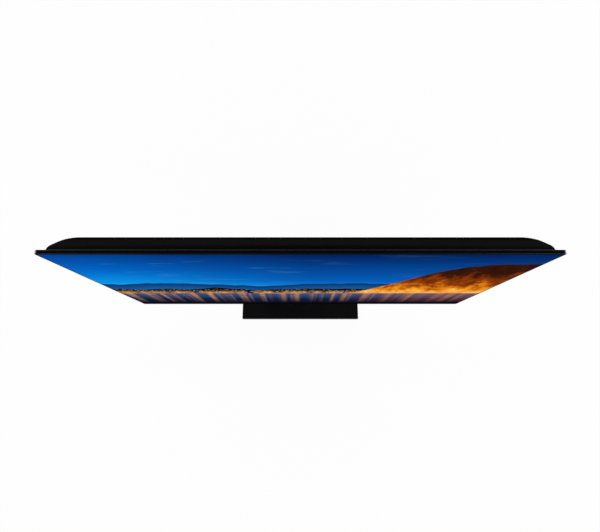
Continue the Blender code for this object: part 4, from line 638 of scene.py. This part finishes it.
# Contacts, measured from the sockets' mouths
CONTACT_THICK = 0.0003
CONTACT_NOSE = 0.0001
TONGUE_FLOOR = 0.0112
PICTURE_TIP = 0.0020
PICTURE_HALF = 0.0006
PICTURE_TONGUE_W = 0.0112
PICTURE_NOSE = 0.0005
PICTURE_BARE = 0.0010
PICTURE_PITCH = 0.0010
PICTURE_CONTACT_W = 0.00045
DATA_TIP = 0.0018
DATA_HALF = 0.00085
DATA_INSET = 0.0019
DATA_TONGUE_W = 0.0110
DATA_NOSE = 0.0006
DATA_BARE = 0.0012
DATA_PITCH = 0.0023
DATA_CONTACT_W = 0.0011
NETWORK_WALL = 0.0016
NETWORK_PATH = [(0.0005, 0.0126), (0.0005, 0.0052), (0.0007, 0.0038), (0.0014, 0.0032), (0.0022, 0.0038),
                (0.0046, 0.0092)]
NETWORK_WIRES = 8
NETWORK_PITCH = 0.00102
WIRE_R = 0.00022
WIRE_SIDES = 8

# Aerial connector, measured from its mouth
CAN_EDGE = 0.0007
BARREL_R = 0.0042
BARREL_LIP_R = 0.0038
BARREL_LIP = 0.0005
BARREL_BORE_R = 0.0031
BARREL_BORE = 0.0010
AERIAL_ROOT_R = 0.00415
AERIAL_CREST_R = 0.00456
AERIAL_PITCH = 0.0008
AERIAL_THREAD_FROM = 0.0012
AERIAL_BARE = 0.0020
INSULATOR_R = (0.0008, 0.0030)
INSULATOR_FROM = 0.0005
CLIP_R = (0.0004, 0.0007)
CLIP_FROM = 0.0006


def skin(loops, ring=False):
    """A closed body through loops of equal length: capped at both ends, or closed into a ring."""
    bm = bmesh.new()
    rows = [[bm.verts.new(point) for point in loop] for loop in loops]
    pairs = list(zip(rows, rows[1:]))
    if ring:
        pairs.append((rows[-1], rows[0]))
    for low, high in pairs:
        for i in range(len(low)):
            j = (i + 1) % len(low)
            bm.faces.new((low[i], low[j], high[j], high[i]))
    if not ring:
        bm.faces.new(rows[0])
        bm.faces.new(rows[-1])
    bmesh.ops.recalc_face_normals(bm, faces=bm.faces)
    return bm


def across(axis, a, b, along):
    """A point from two coordinates across an axis and one along it."""
    places = {"X": (along, a, b), "Y": (a, along, b), "Z": (a, b, along)}
    return Vector(places[axis])


def turned(axis, profile, steps=32, ring=False):
    """A profile of (radius, place along the axis) turned about the axis."""
    turns = [math.tau * i / steps for i in range(steps)]
    loops = [[across(axis, r * math.cos(t), r * math.sin(t), h) for t in turns] for r, h in profile]
    return skin(loops, ring)


def washer(axis, radii, near, far):
    """A flat ring from one place along the axis to another."""
    inner, outer = radii
    return turned(axis, [(inner, near), (outer, near), (outer, far), (inner, far)], ring=True)


def as_mesh(bm, name="fitting"):
    mesh = bpy.data.meshes.new(name)
    bm.to_mesh(mesh)
    bm.free()
    return mesh


def gathered(bodies):
    """Several bodies in one mesh."""
    whole = bmesh.new()
    for body in bodies:
        part = as_mesh(body)
        whole.from_mesh(part)
        bpy.data.meshes.remove(part)
    return as_mesh(whole)


def carved(bm, cutter):
    """One body with another cut from it."""
    pair = [bpy.data.objects.new("carving", as_mesh(body)) for body in (bm, cutter)]
    for body in pair:
        bpy.context.scene.collection.objects.link(body)
    boolean = pair[0].modifiers.new("cut", "BOOLEAN")
    boolean.solver = "EXACT"
    boolean.object = pair[1]
    bpy.context.view_layer.update()
    shaped = pair[0].evaluated_get(bpy.context.evaluated_depsgraph_get())
    result = bpy.data.meshes.new_from_object(shaped)
    for body in pair:
        bpy.data.objects.remove(body)
    return result


def fit(name, mesh, material, body, place=(0.0, 0.0, 0.0), turn=(0.0, 0.0, 0.0)):
    """A finished fitting, set in place and riding on its body."""
    mesh.materials.clear()
    mesh.materials.append(material)
    mesh.shade_smooth()
    mesh.set_sharp_from_angle(angle=CREASE)
    piece = bpy.data.objects.new(name, mesh)
    bpy.context.scene.collection.objects.link(piece)
    piece.location = place
    piece.rotation_euler = turn
    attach(piece, body)
    return piece


def cross_outline(reach, half):
    """Outline of a cross recess, as twelve corners."""
    arm = [(half, half), (half, reach), (-half, reach), (-half, half), (-reach, half), (-reach, -half)]
    return arm + [(-a, -b) for a, b in arm]


def cross_screw(head, shank=()):
    """Domed screw head with a tapered cross recess, its seat at zero, and its shank's profile if it shows."""
    radius, height = head
    profile = list(shank) + [(radius * r, height * h) for r, h in DOME]
    sunk = CROSS_DEPTH * height
    scale = radius / COVER_HEAD[0]
    loops = []
    for (reach, half), place in ((CROSS_TOP, height + LIFT), (CROSS_FLOOR, height - sunk)):
        loops.append([across("Y", a, b, place) for a, b in cross_outline(scale * reach, scale * half)])
    return carved(turned("Y", profile), skin(loops))


def helix(axis, base, crest, pitch, start, length):
    """A thread's ridge that winds along an axis, fading in and out over half a turn."""
    count = int(HELIX_STEPS * length / pitch)
    half = RIDGE_HALF * pitch
    loops = []
    for i in range(count + 1):
        turn = math.tau * i / HELIX_STEPS
        place = start + length * i / count
        fade = min(1.0, RIDGE_START + 2.0 * min(i, count - i) / HELIX_STEPS)
        tip = base + (crest - base) * fade
        section = [(base, place - half * fade), (tip, place), (base, place + half * fade)]
        loops.append([across(axis, r * math.cos(turn), r * math.sin(turn), h) for r, h in section])
    return skin(loops)


def chamfered(a0, a1, b0, b1, edge):
    """A rectangle with its corners cut off."""
    return [(a0 + edge, b0), (a1 - edge, b0), (a1, b0 + edge), (a1, b1 - edge),
            (a1 - edge, b1), (a0 + edge, b1), (a0, b1 - edge), (a0, b0 + edge)]


def blade(floor, tip, y, thick, z, width, nose):
    """A flat tongue that points along -X, with a tapered nose."""
    rows = [(floor, 0.0), (tip + nose, 0.0), (tip, nose / 2)]
    loops = []
    for x, shrink in rows:
        half_y = thick / 2 - shrink
        half_z = width / 2 - shrink
        edge = min(half_y, half_z) / 3
        outline = chamfered(y - half_y, y + half_y, z - half_z, z + half_z, edge)
        loops.append([across("X", a, b, x) for a, b in outline])
    return skin(loops)


def wire(x, path):
    """A bent spring wire in a plane across X."""
    turns = [math.tau * i / WIRE_SIDES for i in range(WIRE_SIDES)]
    loops = []
    for i, (y, z) in enumerate(path):
        before = Vector(path[max(i - 1, 0)])
        after = Vector(path[min(i + 1, len(path) - 1)])
        along = (after - before).normalized()
        loops.append([(x + WIRE_R * math.cos(t), y - along.y * WIRE_R * math.sin(t),
                       z + along.x * WIRE_R * math.sin(t)) for t in turns])
    return skin(loops)


def add_screws():
    """Cover screws in their wells, the neck's four screws, and those of the base's closing plate."""
    cover_screw = cross_screw(COVER_HEAD)
    for number, (x, z) in enumerate(WELL_PLACES, 1):
        place = (x, WELL_FLOOR + LIFT, z)
        fit(f"cover_screw_{number}", cover_screw, BRIGHT, "display", place)
    for number in range(1, 5):
        node = f"neck_screw_{number}"
        low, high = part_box(node)
        seat = high.y - NECK_HEAD[1]
        tip = low.y - seat
        shank = [(SHANK_TIP_R, tip), (SHANK_R, tip + SHANK_TAPER), (SHANK_R, 0.0)]
        centre = middle_of(node)
        place = (centre.x, seat, centre.z)
        screw = fit(f"cross_neck_screw_{number}", cross_screw(NECK_HEAD, shank), BRIGHT, "display",
                    place)
        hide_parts(node)
    plate_screw = cross_screw(PLATE_HEAD)
    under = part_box("closing_plate")[0].z - LIFT
    head_down = (-math.pi / 2, 0.0, 0.0)
    for number, (x, y) in enumerate(PLATE_SCREWS, 1):
        fit(f"plate_screw_{number}", plate_screw, DARK_STEEL, "base", (x, y, under),
            head_down)


def add_bushes():
    """Turned wall-mount bushes with a chamfered mouth and their thread."""
    low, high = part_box("wall_mount_bush_1")
    rim = (high.x - low.x) / 2
    profile = [(BORE_R, -BORE_DEPTH), (BORE_R, -BUSH_EDGE), (BORE_R + BUSH_EDGE, 0.0), (rim - BUSH_EDGE, 0.0),
               (rim, -BUSH_EDGE), (rim, low.y - high.y)]
    ridge = helix("Y", BORE_R + BUSH_ROOT, THREAD_R, BUSH_PITCH, BUSH_THREAD_FROM - BORE_DEPTH,
                  BORE_DEPTH - BUSH_BARE)
    threaded = gathered([turned("Y", profile, BUSH_STEPS), ridge])
    for number in range(1, 5):
        node = f"wall_mount_bush_{number}"
        centre = middle_of(node)
        place = (centre.x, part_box(node)[1].y, centre.z)
        bush = fit(f"threaded_bush_{number}", threaded, BRIGHT, "display", place)
        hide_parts(node)


def contact_row(floor, tip, y, z, pitch, count, width):
    """Flat spring contacts side by side on a tongue's face."""
    places = [z + pitch * (i - (count - 1) / 2) for i in range(count)]
    return [blade(floor, tip, y, CONTACT_THICK, place, width, CONTACT_NOSE) for place in places]


def add_contacts():
    """Tongues and gilded contacts in the picture, data and network sockets."""
    for number in (1, 2):
        node = f"hdmi_socket_{number}"
        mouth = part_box(node)[0].x
        centre = middle_of(node)
        floor = mouth + TONGUE_FLOOR
        tip = mouth + PICTURE_TIP
        tongue = blade(floor, tip, centre.y, 2 * PICTURE_HALF, centre.z, PICTURE_TONGUE_W, PICTURE_NOSE)
        fit(f"picture_socket_tongue_{number}", as_mesh(tongue), SATIN, "display")
        strips = []
        for face, count in ((PICTURE_HALF, 10), (-PICTURE_HALF, 9)):
            strips += contact_row(floor, tip + PICTURE_BARE, centre.y + face, centre.z, PICTURE_PITCH, count,
                                  PICTURE_CONTACT_W)
        fit(f"picture_socket_contacts_{number}", gathered(strips), GOLD, "display")
    low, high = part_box("usb_socket")
    centre = middle_of("usb_socket")
    floor = low.x + TONGUE_FLOOR
    tip = low.x + DATA_TIP
    y = high.y - DATA_INSET
    tongue = blade(floor, tip, y, 2 * DATA_HALF, centre.z, DATA_TONGUE_W, DATA_NOSE)
    fit("data_socket_tongue", as_mesh(tongue), WHITE, "display")
    strips = contact_row(floor, tip + DATA_BARE, y - DATA_HALF, centre.z, DATA_PITCH, 4, DATA_CONTACT_W)
    fit("data_socket_contacts", gathered(strips), GOLD, "display")
    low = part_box("network_socket")[0]
    centre = middle_of("network_socket")
    path = [(low.y + NETWORK_WALL + y, low.z + z) for y, z in NETWORK_PATH]
    places = [centre.x + NETWORK_PITCH * (i - (NETWORK_WIRES - 1) / 2) for i in range(NETWORK_WIRES)]
    fit("network_socket_contacts", gathered([wire(x, path) for x in places]), GOLD, "display")


def add_aerial():
    """Threaded aerial connector on its can, with an insulator and the spring clip for the plug's wire."""
    low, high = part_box("aerial_socket")
    centre = middle_of("aerial_socket")
    half = (high.x - low.x) / 2
    shoulder = high.z - 2 * half
    tip = low.z
    rows = [(shoulder, CAN_EDGE), (shoulder + CAN_EDGE, 0.0), (high.z - CAN_EDGE, 0.0), (high.z, CAN_EDGE)]
    loops = []
    for z, shrink in rows:
        reach = half - shrink
        loops.append([across("Z", a, b, z) for a, b in chamfered(-reach, reach, -reach, reach, CAN_EDGE)])
    barrel = [(BARREL_R, shoulder + CAN_EDGE), (BARREL_R, tip + BARREL_LIP), (BARREL_LIP_R, tip),
              (BARREL_BORE_R, tip), (BARREL_BORE_R, tip + BARREL_BORE)]
    thread = helix("Z", AERIAL_ROOT_R, AERIAL_CREST_R, AERIAL_PITCH, tip + AERIAL_THREAD_FROM,
                   shoulder - tip - AERIAL_BARE)
    place = (centre.x, centre.y, 0.0)
    body = gathered([skin(loops), turned("Z", barrel), thread])
    can = fit("aerial_connector", body, BRIGHT, "display", place)
    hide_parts("aerial_socket")
    bore_floor = tip + BARREL_BORE
    disc = washer("Z", INSULATOR_R, tip + INSULATOR_FROM, bore_floor)
    fit("aerial_insulator", as_mesh(disc), WHITE, "display", place)
    clip = washer("Z", CLIP_R, tip + CLIP_FROM, bore_floor)
    fit("aerial_clip", as_mesh(clip), GOLD, "display", place)


add_screws()
add_bushes()
add_contacts()
add_aerial()


# Studio: floor, lamps, world and camera

FLOOR_HALF = 15.0
FLOOR_CELLS = 8
FLOOR_WHITE = 0.96

# Places and aims of the lamps on the right; those on the left mirror them
SET_AIM = (0.0, -0.03, 0.25)
CORNER_AIM = (0.477, -0.057, 0.631)
SOFTBOXES = [
    ("key", (2.0, -1.8, 1.9), (1.6, 1.6), 26.0, SET_AIM),
    ("rear", (2.1, 1.7, 1.6), (1.4, 1.4), 18.0, SET_AIM),
    ("strip", (2.47, 0.46, 1.40), (0.25, 1.8), 15.0, CORNER_AIM),
]

# The world's strength falls from the walls to the ceiling, by the height of the direction
WORLD_LEVELS = (("From Min", 0.30), ("From Max", 0.75), ("To Min", 0.60), ("To Max", 0.04))


def floor_material():
    """Pale matt floor. What the camera and reflections see of it is mostly plain white."""
    g = Graph("pale_floor")
    tone = g.mix(g.noise(3.0, 2.0), (0.93, 0.93, 0.93), (0.95, 0.95, 0.95))
    matt = g.add("ShaderNodeBsdfDiffuse")
    g.feed(matt.inputs["Color"], tone)
    white = g.add("ShaderNodeEmission")
    path = g.add("ShaderNodeLightPath")
    mirrored = g.math("MAXIMUM", path.outputs["Is Glossy Ray"], path.outputs["Is Transmission Ray"])
    seen = g.math("MAXIMUM", path.outputs["Is Camera Ray"], mirrored)
    return g.finish(g.blend(g.times(seen, FLOOR_WHITE), matt.outputs[0], white.outputs[0]))


def make_floor():
    bm = bmesh.new()
    bmesh.ops.create_grid(bm, x_segments=FLOOR_CELLS, y_segments=FLOOR_CELLS, size=FLOOR_HALF)
    mesh = as_mesh(bm, "floor")
    mesh.materials.append(floor_material())
    floor = bpy.data.objects.new("floor", mesh)
    bpy.context.scene.collection.objects.link(floor)


def softbox(name, place, size, power, aim):
    lamp = bpy.data.lights.new(name, "AREA")
    lamp.shape = "RECTANGLE"
    lamp.size, lamp.size_y = size
    lamp.energy = power
    stand = bpy.data.objects.new(name, lamp)
    bpy.context.scene.collection.objects.link(stand)
    stand.location = place
    stand.rotation_euler = (Vector(aim) - Vector(place)).to_track_quat("-Z", "Y").to_euler()


def make_lamps():
    for name, (x, y, z), size, power, (aim_x, aim_y, aim_z) in SOFTBOXES:
        for side, sign in (("left", -1), ("right", 1)):
            softbox(f"{name}_{side}", (sign * x, y, z), size, power, (sign * aim_x, aim_y, aim_z))


def make_world():
    """Studio surroundings: pale walls all round, dim ceiling."""
    world = bpy.data.worlds.new("studio")
    bpy.context.scene.world = world
    world.use_nodes = True
    tree = world.node_tree
    tree.nodes.clear()
    place = tree.nodes.new("ShaderNodeTexCoord")
    axes = tree.nodes.new("ShaderNodeSeparateXYZ")
    level = tree.nodes.new("ShaderNodeMapRange")
    level.interpolation_type = "SMOOTHSTEP"
    for key, value in WORLD_LEVELS:
        level.inputs[key].default_value = value
    glow = tree.nodes.new("ShaderNodeBackground")
    end = tree.nodes.new("ShaderNodeOutputWorld")
    tree.links.new(place.outputs["Generated"], axes.inputs[0])
    tree.links.new(axes.outputs["Z"], level.inputs["Value"])
    tree.links.new(level.outputs[0], glow.inputs["Strength"])
    tree.links.new(glow.outputs[0], end.inputs["Surface"])


def make_camera():
    camera = bpy.data.cameras.new("camera")
    camera.lens = LENS_MM
    camera.sensor_width = SENSOR_MM
    camera.clip_start = NEAR_CLIP
    holder = bpy.data.objects.new("camera", camera)
    bpy.context.scene.collection.objects.link(holder)
    holder.location = CAMERA_PLACE
    holder.rotation_euler = (CAMERA_TILT, 0.0, 0.0)
    bpy.context.scene.camera = holder


make_floor()
make_lamps()
make_world()
make_camera()
bpy.context.scene.view_settings.view_transform = "Standard"
